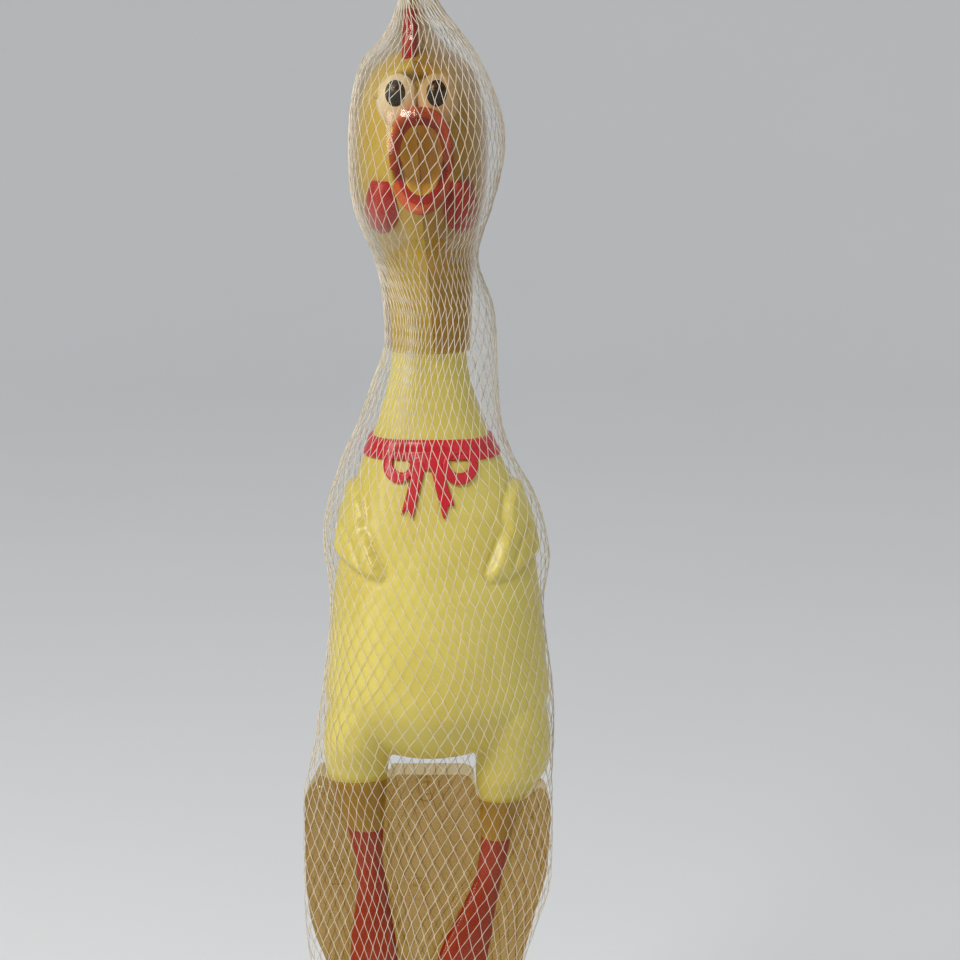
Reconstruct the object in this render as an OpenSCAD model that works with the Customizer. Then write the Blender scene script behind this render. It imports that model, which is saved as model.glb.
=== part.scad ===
// Squawking rubber chicken, hung up in its net bag with amber blister shells.
// A hollow soft figure: the head end is held, the body hangs and bends below the neck.
// Millimetres, +Z up, the face looks along -Y. The origin is inside the top of the hanging loop.

/* [Figure] */
// Width across the hips
hip_w = 86.6; // [84:0.2:88]
// Depth of the belly, front to back
belly_d = 70; // [68:0.5:72]
// Width of the bare neck at its thinnest
neck_w = 28; // [27:0.5:29]
// Width of the head
head_w = 47; // [45:0.5:48]
// Height of the head's widest level above the toes' base
head_z = 345; // [343:1:346]
// Wall of the soft vinyl skin
skin_t = 1.6; // [1.2:0.1:2]
// Radius of the soft patch on the belly that is squeezed
squeeze_r = 24; // [22:1:24]

/* [Face] */
// Width of the open beak over its lips
beak_w = 27; // [25:0.5:28]
// Height of the open beak over its lips
beak_h = 40; // [38:0.5:41]
// How far the beak stands out in front of the neck's axis
beak_reach = 45; // [43:0.5:45]
// Thickness of the comb
comb_t = 5.5; // [4.5:0.5:6]

/* [Squawker] */
// Outer radius of the squawker's barrel in the throat
barrel_r = 9; // [8:0.5:9.5]
// Length of the squawker's barrel
barrel_l = 28; // [26:1:30]
// Length of the free part of the reed tongue
reed_l = 15; // [12:0.5:15]
// Thickness of the reed tongue
reed_t = 0.35; // [0.3:0.05:0.5]

/* [Blister shells] */
// Film thickness of the amber shells
film_t = 0.5; // [0.4:0.05:0.6]
// Gap between the legs and the channels of the foot shell
channel_gap = 0.8; // [0.6:0.1:1]
// Radius of the snap studs that join the foot shell's two sheets
stud_r = 3.9; // [3.5:0.1:4.2]
// Width of the fin along the head shell's seam
fin_w = 2; // [1.5:0.1:2.2]

/* [Net bag and tag] */
// Thickness of the net, that of one of its threads
net_t = 0.4; // [0.3:0.1:0.6]
// Length of the bunched net between the top clip and the hanging loop
tail_l = 60; // [58:1:62]
// Radius of the hanging loop, to the middle of its cord
loop_r = 8; // [7:0.5:9]
// Radius of the bunched net cord in the hanging loop
loop_cord_r = 2; // [1.8:0.1:2.2]
// Width of the hang tag's card
tag_w = 90; // [86:1:92]
// Height of the hang tag's card
tag_h = 56; // [54:1:58]
// Thickness of the hang tag's card
tag_t = 0.8; // [0.6:0.1:1]
// Radius of the peg hole in the hang tag
peg_r = 3; // [2.5:0.1:3]

/* [Hidden] */

fit_gap = 0.3;            // between skins of different bodies
rest_gap = 0.02;          // between a piece and the skin it lies on
seam_gap = 0.05;          // from a film to the plane it meets the other film at
reach = 80;               // size of the cutting solids, past the whole figure
seg = 28;                 // sides of the large skins
seg_small = 20;           // sides of the legs and of inner surfaces

// Levels above the base of the foot shell
toe_z = 5;
drum_z = 100;             // top of the part of the leg that the foot shell grips
hip_z = 111;              // the thighs bend between drum_z and hip_z
thigh_top_z = 141;        // where the thighs end inside the trunk
neck_low_z = 236;         // the neck bends between neck_low_z and neck_top_z
neck_top_z = 268;         // lower edge of the head shell
clip_z = 412;             // gathered top of the net
loop_z = clip_z + 8 + tail_l;
hang_z = loop_z + 2 * loop_r - loop_cord_r;

// Trunk
trunk_x = 2;
squeeze_z = 160;          // middle of the soft patch on the belly
squeeze_y = -20;          // back of the patch's cutter, inside the trunk
tail_y = 31.5;            // short tail on the back
tail_z = 131;
tail_size = [7, 8, 7];
wing_x = 1.5;             // middle between the wings
wing_t = 3.2;
wing_back_y = 8;

// Ribbon and bow
band_low_z = 228.8;
band_top_z = 235.7;
band_t = 1.1;
bow_x = -2;
bow_z = 231.5;            // knot of the bow
bow_low_z = 200;          // below the tips of its tails
bow_t = 1.3;

// Sections are [height, middle x, middle y, half width, half depth]
hip_r = hip_w / 2;
belly_r = belly_d / 2;
neck_r = neck_w / 2;
head_r = head_w / 2;

trunk_keys = [
    [hip_z + 0.6, -1, -2, 5, 7],
    [hip_z + 2, -1, -2, 15, 16],
    [117, 0, -2, 25, 24],
    [125, 1, -1.5, 35.5, belly_r - 4.5],
    [135, 2, -1, hip_r - 1, belly_r - 1],
    [150, 2, -1, hip_r - 2, belly_r],
    [173, 2, -0.5, hip_r - 4, belly_r - 1],
    [188, 2, 0, hip_r - 6, belly_r - 3],
    [203, 1.5, 0, hip_r - 8.5, belly_r - 6],
    [218, 1, 0, hip_r - 13.3, belly_r - 9.5],
    [neck_low_z, -0.2, 0, neck_r + 8, neck_r + 6],
    [252, -0.6, 0, neck_r + 2.5, neck_r + 2],
    [262, -0.8, 0, neck_r + 0.4, neck_r],
    [neck_top_z, -0.8, 0, neck_r, neck_r]];

head_keys = [
    [neck_top_z, -0.8, 0, neck_r, neck_r],
    [287, -1, 0, neck_r + 0.8, neck_r + 0.5],
    [305, -1.8, 0, neck_r + 2, neck_r + 2],
    [316, -3.2, -1, head_r - 3.5, head_r - 2],
    [330, -4.3, -2.5, head_r - 0.5, head_r + 2],
    [head_z, -4.5, -2.5, head_r, head_r + 3],
    [360, -4.5, -1.5, head_r - 2, head_r + 2],
    [370, -4.6, 0.5, head_r - 6.5, head_r - 2],
    [376, -4.8, 1.5, head_r - 12.5, head_r - 8.5],
    [379, -5, 2, 4, 6]];

left_thigh_keys = [
    [drum_z, -27, 0, 9, 10],
    [104.5, -27.9, 0, 10, 11],
    [hip_z, -28, 0, 11, 12.5],
    [120, -27.2, 0, 12.5, 15],
    [132, -24.5, 0, 14.5, 18],
    [141, -22, 0, 12, 15]];

right_thigh_keys = [
    [drum_z, 27.5, 0, 10.5, 11],
    [104.5, 29.3, 0, 12.7, 12.5],
    [hip_z, 30.3, 0, 13.8, 13.5],
    [120, 30.5, 0, 14, 15.5],
    [132, 27.5, 0, 15, 18],
    [141, 25, 0, 12, 15]];

left_knee_z = 84;         // paint line between the thigh and the leg
right_knee_z = 80;

left_leg_keys = [
    [toe_z, -22, -8, 11.5, 2.8],
    [9, -22, -8, 13.3, 3.8],
    [22, -22.3, -6.5, 12.5, 4.5],
    [38, -22.8, -4.5, 10.3, 5],
    [52, -23.2, -2, 7.4, 5.5],
    [60, -23.4, -1, 5.9, 5.5],
    [72, -24.8, 0, 5.5, 5.5],
    [left_knee_z, -25.5, 0, 6.5, 6.6],
    [92, -26.3, 0, 7.6, 8.4],
    [drum_z, -27, 0, 9, 10]];

right_leg_keys = [
    [toe_z, 4.6, -8, 11, 2.8],
    [9, 5.2, -8, 12.6, 3.8],
    [22, 8.6, -6.5, 12.3, 4.5],
    [38, 13.1, -4.5, 10.6, 5],
    [52, 17.9, -2, 6.8, 5.5],
    [65, 22, -0.5, 5.3, 5.4],
    [right_knee_z, 24.5, 0, 5.9, 6.2],
    [88, 25.3, 0, 7.2, 8],
    [96, 26.4, 0, 8.8, 9.8],
    [drum_z, 27.5, 0, 10.5, 11]];

head_shell_keys = [
    [neck_top_z, -0.8, 0, neck_r + 3.2, neck_r + 3.2],
    [290, -1, 0, neck_r + 4.2, neck_r + 4.2],
    [304, -2, -1.5, neck_r + 6.5, neck_r + 8],
    [315, -3.2, -10.5, head_r + 2, 35.5],
    [330, -4.2, -11.5, head_r + 3.5, 38],
    [348, -4.4, -11.8, head_r + 3.5, 38.8],
    [362, -4.5, -9.5, head_r + 2.5, 37.5],
    [373, -4.6, -1.5, head_r - 2, 28],
    [381, -5, 3, 10.5, 21.5],
    [392, -5.8, 4, 6, 18.5],
    [401, -6, 4, 4.2, 12]];

net_keys = [
    [-15, -4, 0, 4, 4],
    [-8, -5, 0, 17, 10],
    [1, -7, -1, 32, 16],
    [20, -6.5, -1, 39.5, 18],
    [40, -5, 0, 45.5, 18],
    [60, -3, 0, 48.5, 18.5],
    [88, -1.5, 0, 50, 20],
    [drum_z, -1, 0, 49.7, 24.5],
    [hip_z, 0.2, 0, 48.5, 31],
    [122, 1.2, 0.5, 47.5, belly_r + 5],
    [135, 2, 1, hip_r + 3.2, belly_r + 7.8],
    [150, 2, 1, hip_r + 2.5, belly_r + 7.5],
    [173, 2, 0, hip_r + 1.8, belly_r + 6],
    [188, 2, 0, hip_r + 1.5, belly_r + 5],
    [205, 2, 0, hip_r - 1.5, belly_r + 2.5],
    [222, 1.5, 0, hip_r - 7.5, belly_r - 2.5],
    [neck_low_z, 1, 0, neck_r + 13.5, neck_r + 12.5],
    [252, 1.4, 0, neck_r + 10.5, neck_r + 10],
    [neck_top_z, 1.4, 0, neck_r + 10, neck_r + 10],
    [290, 0.6, -0.5, neck_r + 11.5, neck_r + 12.5],
    [304, -1, -4.5, neck_r + 13.5, neck_r + 18],
    [316, -2.8, -10, head_r + 7, 41],
    [332, -4, -11, head_r + 8, 43.2],
    [350, -4.2, -11, head_r + 8, 43.5],
    [364, -4.3, -8, head_r + 5.5, 40.5],
    [376, -4.4, -0.5, head_r - 1, 31.5],
    [392, -4.5, 3, 12, 24],
    [404, -4.3, 3.5, 7, 11.5],
    [clip_z, -4, 0, 3.4, 3.4]];

// The seam plane of the head shell leans a little to the figure's right side
seam_x = -4;
seam_lean = -2.7;
seam_z = 330;

// Face
face_x = -4.4;
mouth_z = 339;
lip_t = 4;
gape_y = -24;             // corners of the mouth
eye_z = 365;
eye_dx = 8.4;             // each eye's middle from the face's middle
eye_y = -19;
eye_size = [8, 9, 10];
eye_low_z = 357.5;        // level underside of the eye whites, above the beak
pupil_t = 0.4;
comb_x = -6;
wattle_at = [-20, 323];   // [middle y, middle z]
wattle_size = [6.2, 7, 9];

// Squawker
throat_x = -1;
barrel_z = 284;
reed_z = barrel_z + 6;
reed_gap = 0.5;

// Net ends and tag
gather_x = -4;
gather_r = 3.4;           // gathered net inside a clip
clip_h = 7;
foot_end_z = -12;         // where the bag's lower end goes into its clip
tag_tilt = 16;
tag_corner_r = 6;
tie_r = 8;
tie_wire_r = 0.6;
tie_hole_r = 1.6;
tie_tilt = 56;
stem_x = 2;
tag_y = -9;
tie_y = -5;
tie_reach = sqrt(tie_r * tie_r - (tag_y - tie_y) * (tag_y - tie_y));
tag_pivot_x = stem_x - tie_reach * cos(tie_tilt);
tag_pivot_z = clip_z + 48;
stem_path = [[gather_x, 0, clip_z + 7], [stem_x, 0, tag_pivot_z - 8],
    [stem_x, 0, tag_pivot_z + 13], [0, 0, loop_z]];
tie_z = tag_pivot_z + tie_reach * sin(tie_tilt);
tie_hole_up = tag_h / 2 - 5;
tag_drop = tie_hole_up / cos(tag_tilt);

// ---------------------------------------------------------------- lofted skins

function mix(a, b, t) = a + (b - a) * t;

// Point t of the way from b to c on a smooth curve through a, b, c and d
function smooth(a, b, c, d, t) =
    0.5 * (2 * b + (c - a) * t + (2 * a - 5 * b + 4 * c - d) * t * t
        + (3 * b - a - 3 * c + d) * t * t * t);

// One more section halfway between each two keys, on a smooth curve
function refined(keys) = [
    for (i = [0 : len(keys) - 2])
        each [keys[i], smooth(keys[max(i - 1, 0)], keys[i], keys[i + 1],
            keys[min(i + 2, len(keys) - 1)], 0.5)],
    keys[len(keys) - 1]];

// The section at height z
function at(list, z) =
    let (i = max([for (k = [0 : len(list) - 2]) if (list[k][0] <= z) k]))
    mix(list[i], list[i + 1], (z - list[i][0]) / (list[i + 1][0] - list[i][0]));

// The sections from z0 to z1
function span(list, z0, z1) = concat(
    [at(list, z0)], [for (s = list) if (s[0] > z0 + 0.3 && s[0] < z1 - 0.3) s], [at(list, z1)]);

function grown(list, g) = [for (s = list) [s[0], s[1], s[2], s[3] + g, s[4] + g]];

function lifted(s, dz) = [s[0] + dz, s[1], s[2], s[3], s[4]];

function reversed(list) = [for (i = [len(list) - 1 : -1 : 0]) list[i]];

function ring(s, n) =
    [for (i = [0 : n - 1]) [s[1] + s[3] * cos(360 * i / n), s[2] + s[4] * sin(360 * i / n), s[0]]];

// A closed skin through a row of sections. With loop the last section joins the first.
module sheet(list, n = seg, loop = false) {
    m = len(list);
    rows = loop ? m : m - 1;
    sides = [
        for (k = [0 : rows - 1], i = [0 : n - 1])
            [k * n + i, (k + 1) % m * n + i, (k + 1) % m * n + (i + 1) % n, k * n + (i + 1) % n]];
    ends = loop ? [] : [
        [for (i = [0 : n - 1]) i],
        [for (i = [0 : n - 1]) m * n - 1 - i]];
    polyhedron(points = [for (s = list) each ring(s, n)], faces = concat(sides, ends));
}

// An open tube of wall t
module pipe(list, t, n = seg)
    sheet(concat(list, reversed(grown(list, -t))), n, true);

// A skin of wall t, open at the bottom and closed at the top
module dome(list, t, n = seg) {
    last = len(list) - 1;
    inner = grown([for (i = [0 : last]) i == last ? lifted(list[i], -t) : list[i]], -t);
    sheet(concat(reversed(inner), list), n);
}

// A skin of wall t, open at the top and closed at the bottom
module sack(list, t, n = seg) {
    inner = grown([for (i = [0 : len(list) - 1]) i == 0 ? lifted(list[i], t) : list[i]], -t);
    sheet(concat(list, reversed(inner)), n);
}

// Everything is drawn above the base of the foot shell and hung below the origin
module hung() translate([0, 0, -hang_z]) children();

// A flat shape in the XZ plane, given thickness along Y from y0 to y1
module upright(y0, y1) translate([0, y1, 0]) rotate([90, 0, 0]) linear_extrude(y1 - y0) children();

// ---------------------------------------------------------------- trunk

trunk = refined(trunk_keys);

module trunk_solid(g = 0) sheet(grown(span(trunk, trunk[0][0], neck_low_z), g), seg);

module thigh_tops(low) {
    sheet(span(left_thigh_keys, low, thigh_top_z), seg_small);
    sheet(span(right_thigh_keys, low, thigh_top_z), seg_small);
}

module squeeze_patch(r) translate([trunk_x, squeeze_y, squeeze_z]) rotate([90, 0, 0])
    cylinder(h = 30, r = r, $fn = 48);

module torso_skin() color("khaki") hung() difference() {
    union() {
        sheet(span(trunk, trunk[0][0], neck_low_z - fit_gap / 2), seg);
        thigh_tops(hip_z + fit_gap / 2);
        translate([trunk_x, tail_y, tail_z]) scale(tail_size) sphere(r = 1, $fn = 24);
    }
    trunk_hollow();
    thigh_hollows();
    squeeze_patch(squeeze_r + fit_gap);
}

module trunk_hollow() {
    inner = grown(span(trunk, hip_z + 4, neck_low_z - fit_gap / 2), -skin_t);
    sheet(concat(inner, [lifted(inner[len(inner) - 1], 2)]), seg_small);
}

module thigh_hollows() {
    for (keys = [left_thigh_keys, right_thigh_keys]) {
        inner = grown(span(keys, hip_z + fit_gap / 2, thigh_top_z - 5), -skin_t);
        sheet(concat([lifted(inner[0], -2)], inner), seg_small);
    }
}

module belly_skin() color("khaki") hung() intersection() {
    difference() {
        sheet(span(trunk, squeeze_z - 30, squeeze_z + 40), seg);
        sheet(grown(span(trunk, squeeze_z - 32, squeeze_z + 42), -skin_t), seg);
    }
    squeeze_patch(squeeze_r);
}

module neck_skin() color("khaki") hung()
    pipe(span(trunk, neck_low_z + fit_gap / 2, neck_top_z - fit_gap / 2), skin_t, seg);

// Outline of the left wing, seen from the front and drawn from the middle between the wings
module wing_outline() offset(r = 1.5) offset(delta = -1.5) polygon([
    [-32.5, 222], [-39.5, 217], [-47.5, 205], [-47.5, 195], [-37.5, 191], [-34.5, 194],
    [-30.5, 188.5], [-27.5, 191], [-22.5, 185], [-20, 186], [-22.5, 195], [-26.5, 207], [-29.5, 217]]);

module wing(side) hung() intersection() {
    difference() {
        trunk_solid(wing_t);
        trunk_solid(rest_gap);
    }
    upright(-reach, wing_back_y) translate([wing_x, 0]) scale([-side, 1]) wing_outline();
}

module left_wing() color("gold") wing(-1);
module right_wing() color("gold") wing(1);

module bow_outline() {
    translate([bow_x, bow_z]) for (side = [-1, 1]) {
        translate([side * 12, -4.5]) difference() {
            scale([1, 0.94]) circle(r = 6.8, $fn = 32);
            scale([1, 0.85]) circle(r = 3.9, $fn = 24);
        }
        polygon([[0, 0], [side * 5.5, 1.5], [side * 10, -0.5], [side * 7, -5.5]]);
        polygon([[0, 1], [side * 4.5, -5], [side * 7, -14], [side * 10.6, -22.6],
            [side * 8.2, -21.4], [side * 6.4, -24.4], [side * 2.4, -13]]);
    }
    translate([bow_x, bow_z]) circle(r = 3.2, $fn = 24);
}

module neck_ribbon() color("crimson") hung() {
    difference() {
        sheet(grown(span(trunk, band_low_z, band_top_z), band_t), seg);
        trunk_solid(rest_gap);
    }
    intersection() {
        difference() {
            sheet(grown(span(trunk, bow_low_z, bow_z + 2), bow_t), seg);
            trunk_solid(rest_gap);
        }
        upright(-reach, 0) bow_outline();
    }
}

// ---------------------------------------------------------------- head

head = refined(head_keys);

module head_solid(g = 0) sheet(grown(head, g), seg);

module mouth_recess(g = 0) translate([face_x, -27, mouth_z])
    scale([beak_w / 2 - lip_t + g, 15 + g, beak_h / 2 - lip_t + g]) sphere(r = 1, $fn = 32);

module head_skin() color("khaki") hung() difference() {
    head_solid();
    difference() {
        inner = grown(head, -skin_t);
        last = len(head) - 1;
        sheet(concat([lifted(inner[0], -2)], [for (i = [0 : last - 2]) inner[i]],
            [lifted(inner[last - 1], -0.6)]), seg_small);
        mouth_recess(skin_t);
    }
    mouth_recess();
}

// Sections of the beak run forward: [distance forward, middle x, middle z, half width, half height]
beak_keys = [
    [19, face_x, mouth_z, beak_w / 2 - 0.5, beak_h / 2 - 1.5],
    [30, face_x, mouth_z, beak_w / 2 - 0.8, beak_h / 2 - 1],
    [38, face_x, mouth_z + 0.3, beak_w / 2 - 0.4, beak_h / 2 - 0.2],
    [beak_reach, face_x, mouth_z + 0.5, beak_w / 2, beak_h / 2]];

module beak_ring() difference() {
    gullet = grown(beak_keys, -lip_t);
    rotate([90, 0, 0]) sheet(beak_keys, seg);
    mouth_recess();
    rotate([90, 0, 0]) sheet([lifted(gullet[1], -3), gullet[2], gullet[3], lifted(gullet[3], 2)], seg);
    rotate([90, 0, 90]) linear_extrude(reach, center = true)
        polygon([[gape_y, mouth_z], [gape_y - 34, mouth_z + 26], [gape_y - 34, mouth_z - 26]]);
    head_solid(rest_gap);
}

module upper_beak() color("orangered") hung() intersection() {
    beak_ring();
    translate([-reach, -reach, mouth_z]) cube([2 * reach, reach, reach]);
}

module lower_beak() color("orangered") hung() intersection() {
    beak_ring();
    translate([-reach, -reach, mouth_z - reach]) cube([2 * reach, reach, reach]);
}

module wattle(x, tilt) color("crimson") hung() difference() {
    translate([x, wattle_at[0], wattle_at[1]]) rotate([0, tilt, 0])
        scale(wattle_size) sphere(r = 1, $fn = 28);
    head_solid(rest_gap);
    rotate([90, 0, 0]) sheet(beak_keys, seg);
}

module left_wattle() wattle(-19, 8);
module right_wattle() wattle(11.5, -8);

// The eye's round form, standing g proud
module eye_ball(x, g = 0) translate([x, eye_y, eye_z - 1])
    scale([eye_size[0] + g, eye_size[1] + g, eye_size[2] + g]) sphere(r = 1, $fn = 28);

module eye_white(x) color("cornsilk") hung() difference() {
    eye_ball(x);
    head_solid(rest_gap);
    translate([-reach, -reach, eye_low_z - reach]) cube([2 * reach, reach, reach]);
}

module left_eye_white() eye_white(face_x - eye_dx);
module right_eye_white() eye_white(face_x + eye_dx);

module pupil(x) color("black") hung() difference() {
    eye_ball(x, pupil_t);
    eye_ball(x, rest_gap);
    head_solid(rest_gap);
    upright(-reach, 0) difference() {
        translate([0, eye_z]) square(2 * reach, center = true);
        translate([x + (x > face_x ? -0.5 : 0.5), eye_z + 1]) scale([0.8, 1]) circle(r = 5, $fn = 28);
    }
}

module left_pupil() pupil(face_x - eye_dx);
module right_pupil() pupil(face_x + eye_dx);

// Saw-toothed comb in the middle plane of the head
module comb() color("crimson") hung() difference() {
    translate([comb_x - comb_t / 2, 0, 0]) rotate([90, 0, 90]) linear_extrude(comb_t)
        offset(r = 1.2) offset(delta = -1.2) polygon([
            [-13, 366], [-11.5, 382], [-7, 392], [-4, 385.5], [1.5, 397.5], [5.5, 387],
            [11, 394.5], [14, 384], [18.5, 386.5], [20, 366]]);
    head_solid(rest_gap);
}

// ---------------------------------------------------------------- squawker

module squawker_barrel() color("white") hung() translate([throat_x, 0, barrel_z]) difference() {
    union() {
        cylinder(h = barrel_l, r = barrel_r, $fn = 48);
        translate([0, 0, barrel_l - 1.5]) cylinder(h = 1.5, r = barrel_r + 2, $fn = 48);
    }
    translate([0, 0, -1]) cylinder(h = barrel_l + 2, r = barrel_r - 1.5, $fn = 48);
}

// Trough under the reed on a base disc that plugs the barrel, with an air passage through both
module reed_seat() color("ivory") hung() translate([throat_x, 0, barrel_z]) difference() {
    union() {
        cylinder(h = 3, r = barrel_r - 1.5, $fn = 48);
        intersection() {
            cylinder(h = reed_z - barrel_z + reed_l - 1, r = 4, $fn = 40);
            translate([-5, 0, 0]) cube([10, 5, 40]);
        }
    }
    translate([0, -1, -1]) cylinder(h = reed_z - barrel_z + reed_l - 1, r = 2.4, $fn = 32);
}

// Wedge that holds the reed's root against the trough
module reed_wedge() color("ivory") hung() translate([throat_x, 0, barrel_z + 3])
    intersection() {
        translate([-3, -3 - reed_gap, 0]) cube([6, 3, reed_z - barrel_z - 3 - fit_gap]);
        cylinder(h = 10, r = barrel_r - 2, $fn = 40);
    }

module reed_tongue() color("gainsboro") hung()
    translate([throat_x - 3, -reed_gap - reed_t, reed_z]) cube([6, reed_t, reed_l]);

// ---------------------------------------------------------------- amber shells

head_shell = refined(head_shell_keys);

// The half of space on one side of the leaning seam plane, clear of it by half a film
module seam_side(side) translate([seam_x, 0, seam_z]) rotate([0, seam_lean, 0])
    translate([side < 0 ? -reach - seam_gap : seam_gap, -reach, -100]) cube([reach, 2 * reach, 200]);

module seam_fin(side) translate([seam_x, 0, seam_z]) rotate([0, seam_lean, 0])
    translate([side < 0 ? -film_t - seam_gap : seam_gap, -reach, -62]) cube([film_t, 2 * reach, 130]);

module head_shell_half(side) color("goldenrod", 0.5) hung() difference() {
    union() {
        intersection() {
            sheet(head_shell, seg);
            seam_side(side);
        }
        intersection() {
            sheet(grown(span(head_shell, neck_top_z, 396), fin_w), seg);
            seam_fin(side);
        }
    }
    sheet(concat([lifted(grown(head_shell, -film_t)[0], -2)],
        grown(span(head_shell, neck_top_z, 400), -film_t)), seg);
}

module head_shell_left() head_shell_half(-1);
module head_shell_right() head_shell_half(1);

module panel_outline() offset(r = 8) offset(delta = -8) polygon([
    [-46.5, hip_z - 1], [-47.3, 60], [-43.5, 45], [-36, 0], [24, 0],
    [33.4, 38], [41.8, 65], [45, 85], [44, hip_z - 1]]);

// Both legs up to the level where the shell lets go of them
module both_legs(g, left_top, right_top) {
    left_all = concat(left_leg_keys, [for (i = [1 : 2]) left_thigh_keys[i]]);
    right_all = concat(right_leg_keys, [for (i = [1 : 2]) right_thigh_keys[i]]);
    left_cut = grown(span(left_all, toe_z, left_top), g);
    right_cut = grown(span(right_all, toe_z, right_top), g);
    sheet(concat([lifted(left_cut[0], -g)], left_cut), seg_small);
    sheet(concat([lifted(right_cut[0], -g)], right_cut), seg_small);
}

stud_h = 3;

// Levels where the shell's channels let go of the legs
left_grip_z = 104.5;
right_grip_z = 96;

// Middles of the snap studs, [x, z]
studs = [[-41, 94.6], [-2.7, 98.4], [-37.2, 65], [36.9, 84.7], [-6, 58], [-38, 26], [29.5, 44]];

module stud(r, h) rotate([90, 0, 0]) cylinder(h = h, r = r, $fn = 28);

module foot_shell_front() color("goldenrod", 0.5) hung() difference() {
    union() {
        upright(-seam_gap - film_t, -seam_gap) panel_outline();
        intersection() {
            both_legs(channel_gap + film_t, left_grip_z, right_grip_z);
            translate([-reach, -reach - seam_gap, -reach / 2]) cube([2 * reach, reach, 2 * reach]);
        }
        for (s = studs) translate([s[0], -seam_gap, s[1]]) stud(stud_r, stud_h);
    }
    both_legs(channel_gap, hip_z, hip_z);
    for (s = studs) translate([s[0], film_t, s[1]]) stud(stud_r - film_t, stud_h);
}

module foot_shell_rear() color("goldenrod", 0.5) hung() difference() {
    union() {
        upright(seam_gap, seam_gap + film_t) panel_outline();
        intersection() {
            both_legs(channel_gap + film_t, left_grip_z, right_grip_z);
            translate([-reach, seam_gap, -reach / 2]) cube([2 * reach, reach, 2 * reach]);
        }
        for (s = studs) translate([s[0], 2 * seam_gap, s[1]])
            stud(stud_r - film_t - 2 * seam_gap, stud_h - film_t);
    }
    both_legs(channel_gap, hip_z, hip_z);
}

// ---------------------------------------------------------------- legs

module thigh_skin(keys) color("khaki") hung()
    pipe(span(keys, drum_z + fit_gap / 2, hip_z - fit_gap / 2), skin_t, seg_small);

module left_thigh_skin() thigh_skin(left_thigh_keys);
module right_thigh_skin() thigh_skin(right_thigh_keys);

module left_drumstick() color("khaki") hung()
    pipe(span(left_leg_keys, left_knee_z, drum_z - fit_gap / 2), skin_t, seg_small);
module right_drumstick() color("khaki") hung()
    pipe(span(right_leg_keys, right_knee_z, drum_z - fit_gap / 2), skin_t, seg_small);

module left_leg() color("orangered") hung()
    sack(span(left_leg_keys, toe_z, left_knee_z), skin_t, seg_small);
module right_leg() color("orangered") hung()
    sack(span(right_leg_keys, toe_z, right_knee_z), skin_t, seg_small);

// ---------------------------------------------------------------- net bag

module net_part(z0, z1, n = 24) color("white", 0.3) hung() pipe(span(net_keys, z0, z1), net_t, n);

module net_head() net_part(neck_top_z + fit_gap / 2, clip_z - 3);
module net_neck() net_part(neck_low_z + fit_gap / 2, neck_top_z - fit_gap / 2);
module net_torso() net_part(hip_z + fit_gap / 2, neck_low_z - fit_gap / 2);
module net_thighs() net_part(drum_z + fit_gap / 2, hip_z - fit_gap / 2);
module net_feet() net_part(foot_end_z, drum_z - fit_gap / 2);

// Crimped ferrule round the gathered net
module clip() difference() {
    union() {
        cylinder(h = clip_h, r = gather_r + 1, $fn = 40);
        translate([0, 0, 2.6]) cylinder(h = 1.8, r = gather_r + 1.4, $fn = 40);
    }
    translate([0, 0, -1]) cylinder(h = clip_h + 2, r = gather_r + 0.2, $fn = 40);
}

module net_clip_top() color("silver") hung() translate([gather_x, 0, clip_z - 2.9]) clip();
module net_clip_bottom() color("silver") hung() translate([gather_x, 0, foot_end_z - 7.1]) clip();

// A straight bundle of cord from a to b
module bundle(a, b, r) {
    d = b - a;
    translate(a) rotate([0, acos(d[2] / norm(d)), atan2(d[1], d[0])]) cylinder(h = norm(d), r = r, $fn = 28);
}

// Bunched net above the clip, turned into a hanging loop at its end
module net_hang_loop() color("white") hung() {
    translate([gather_x, 0, clip_z - 2.8]) cylinder(h = 10.8, r = gather_r, $fn = 32);
    for (i = [0 : 2]) {
        bundle(stem_path[i], stem_path[i + 1], loop_cord_r);
        translate(stem_path[i]) sphere(r = loop_cord_r + 0.4, $fn = 24);
    }
    translate([0, 0, loop_z + loop_r]) rotate([90, 0, 0]) rotate_extrude($fn = 40)
        translate([loop_r, 0]) circle(r = loop_cord_r, $fn = 20);
}

module net_tail_bottom() color("white") hung() translate([gather_x, 0, -36]) {
    cylinder(h = 24.5, r = gather_r, $fn = 32);
    cylinder(h = 12, r1 = 6, r2 = gather_r, $fn = 32);
}

// ---------------------------------------------------------------- tag

module tag_tie() color("whitesmoke") hung() translate([stem_x, tie_y, tie_z])
    rotate([0, -tie_tilt, 0]) rotate_extrude($fn = 48)
        translate([tie_r, 0]) circle(r = tie_wire_r, $fn = 16);

module hang_tag() color("steelblue") hung()
    translate([tag_pivot_x, 0, tag_pivot_z - tag_drop]) rotate([0, tag_tilt, 0])
        upright(tag_y - tag_t / 2, tag_y + tag_t / 2) difference() {
            union() {
                square([tag_w - 2 * tag_corner_r, tag_h], center = true);
                square([tag_w, tag_h - 2 * tag_corner_r], center = true);
                for (sx = [-1, 1], sz = [-1, 1])
                    translate([sx * (tag_w / 2 - tag_corner_r), sz * (tag_h / 2 - tag_corner_r)])
                        circle(r = tag_corner_r, $fn = 32);
            }
            translate([-tie_hole_up * tan(tag_tilt), tie_hole_up]) circle(r = tie_hole_r, $fn = 28);
            translate([2, tag_h / 2 - 6.5]) circle(r = peg_r, $fn = 36);
        }

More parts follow.
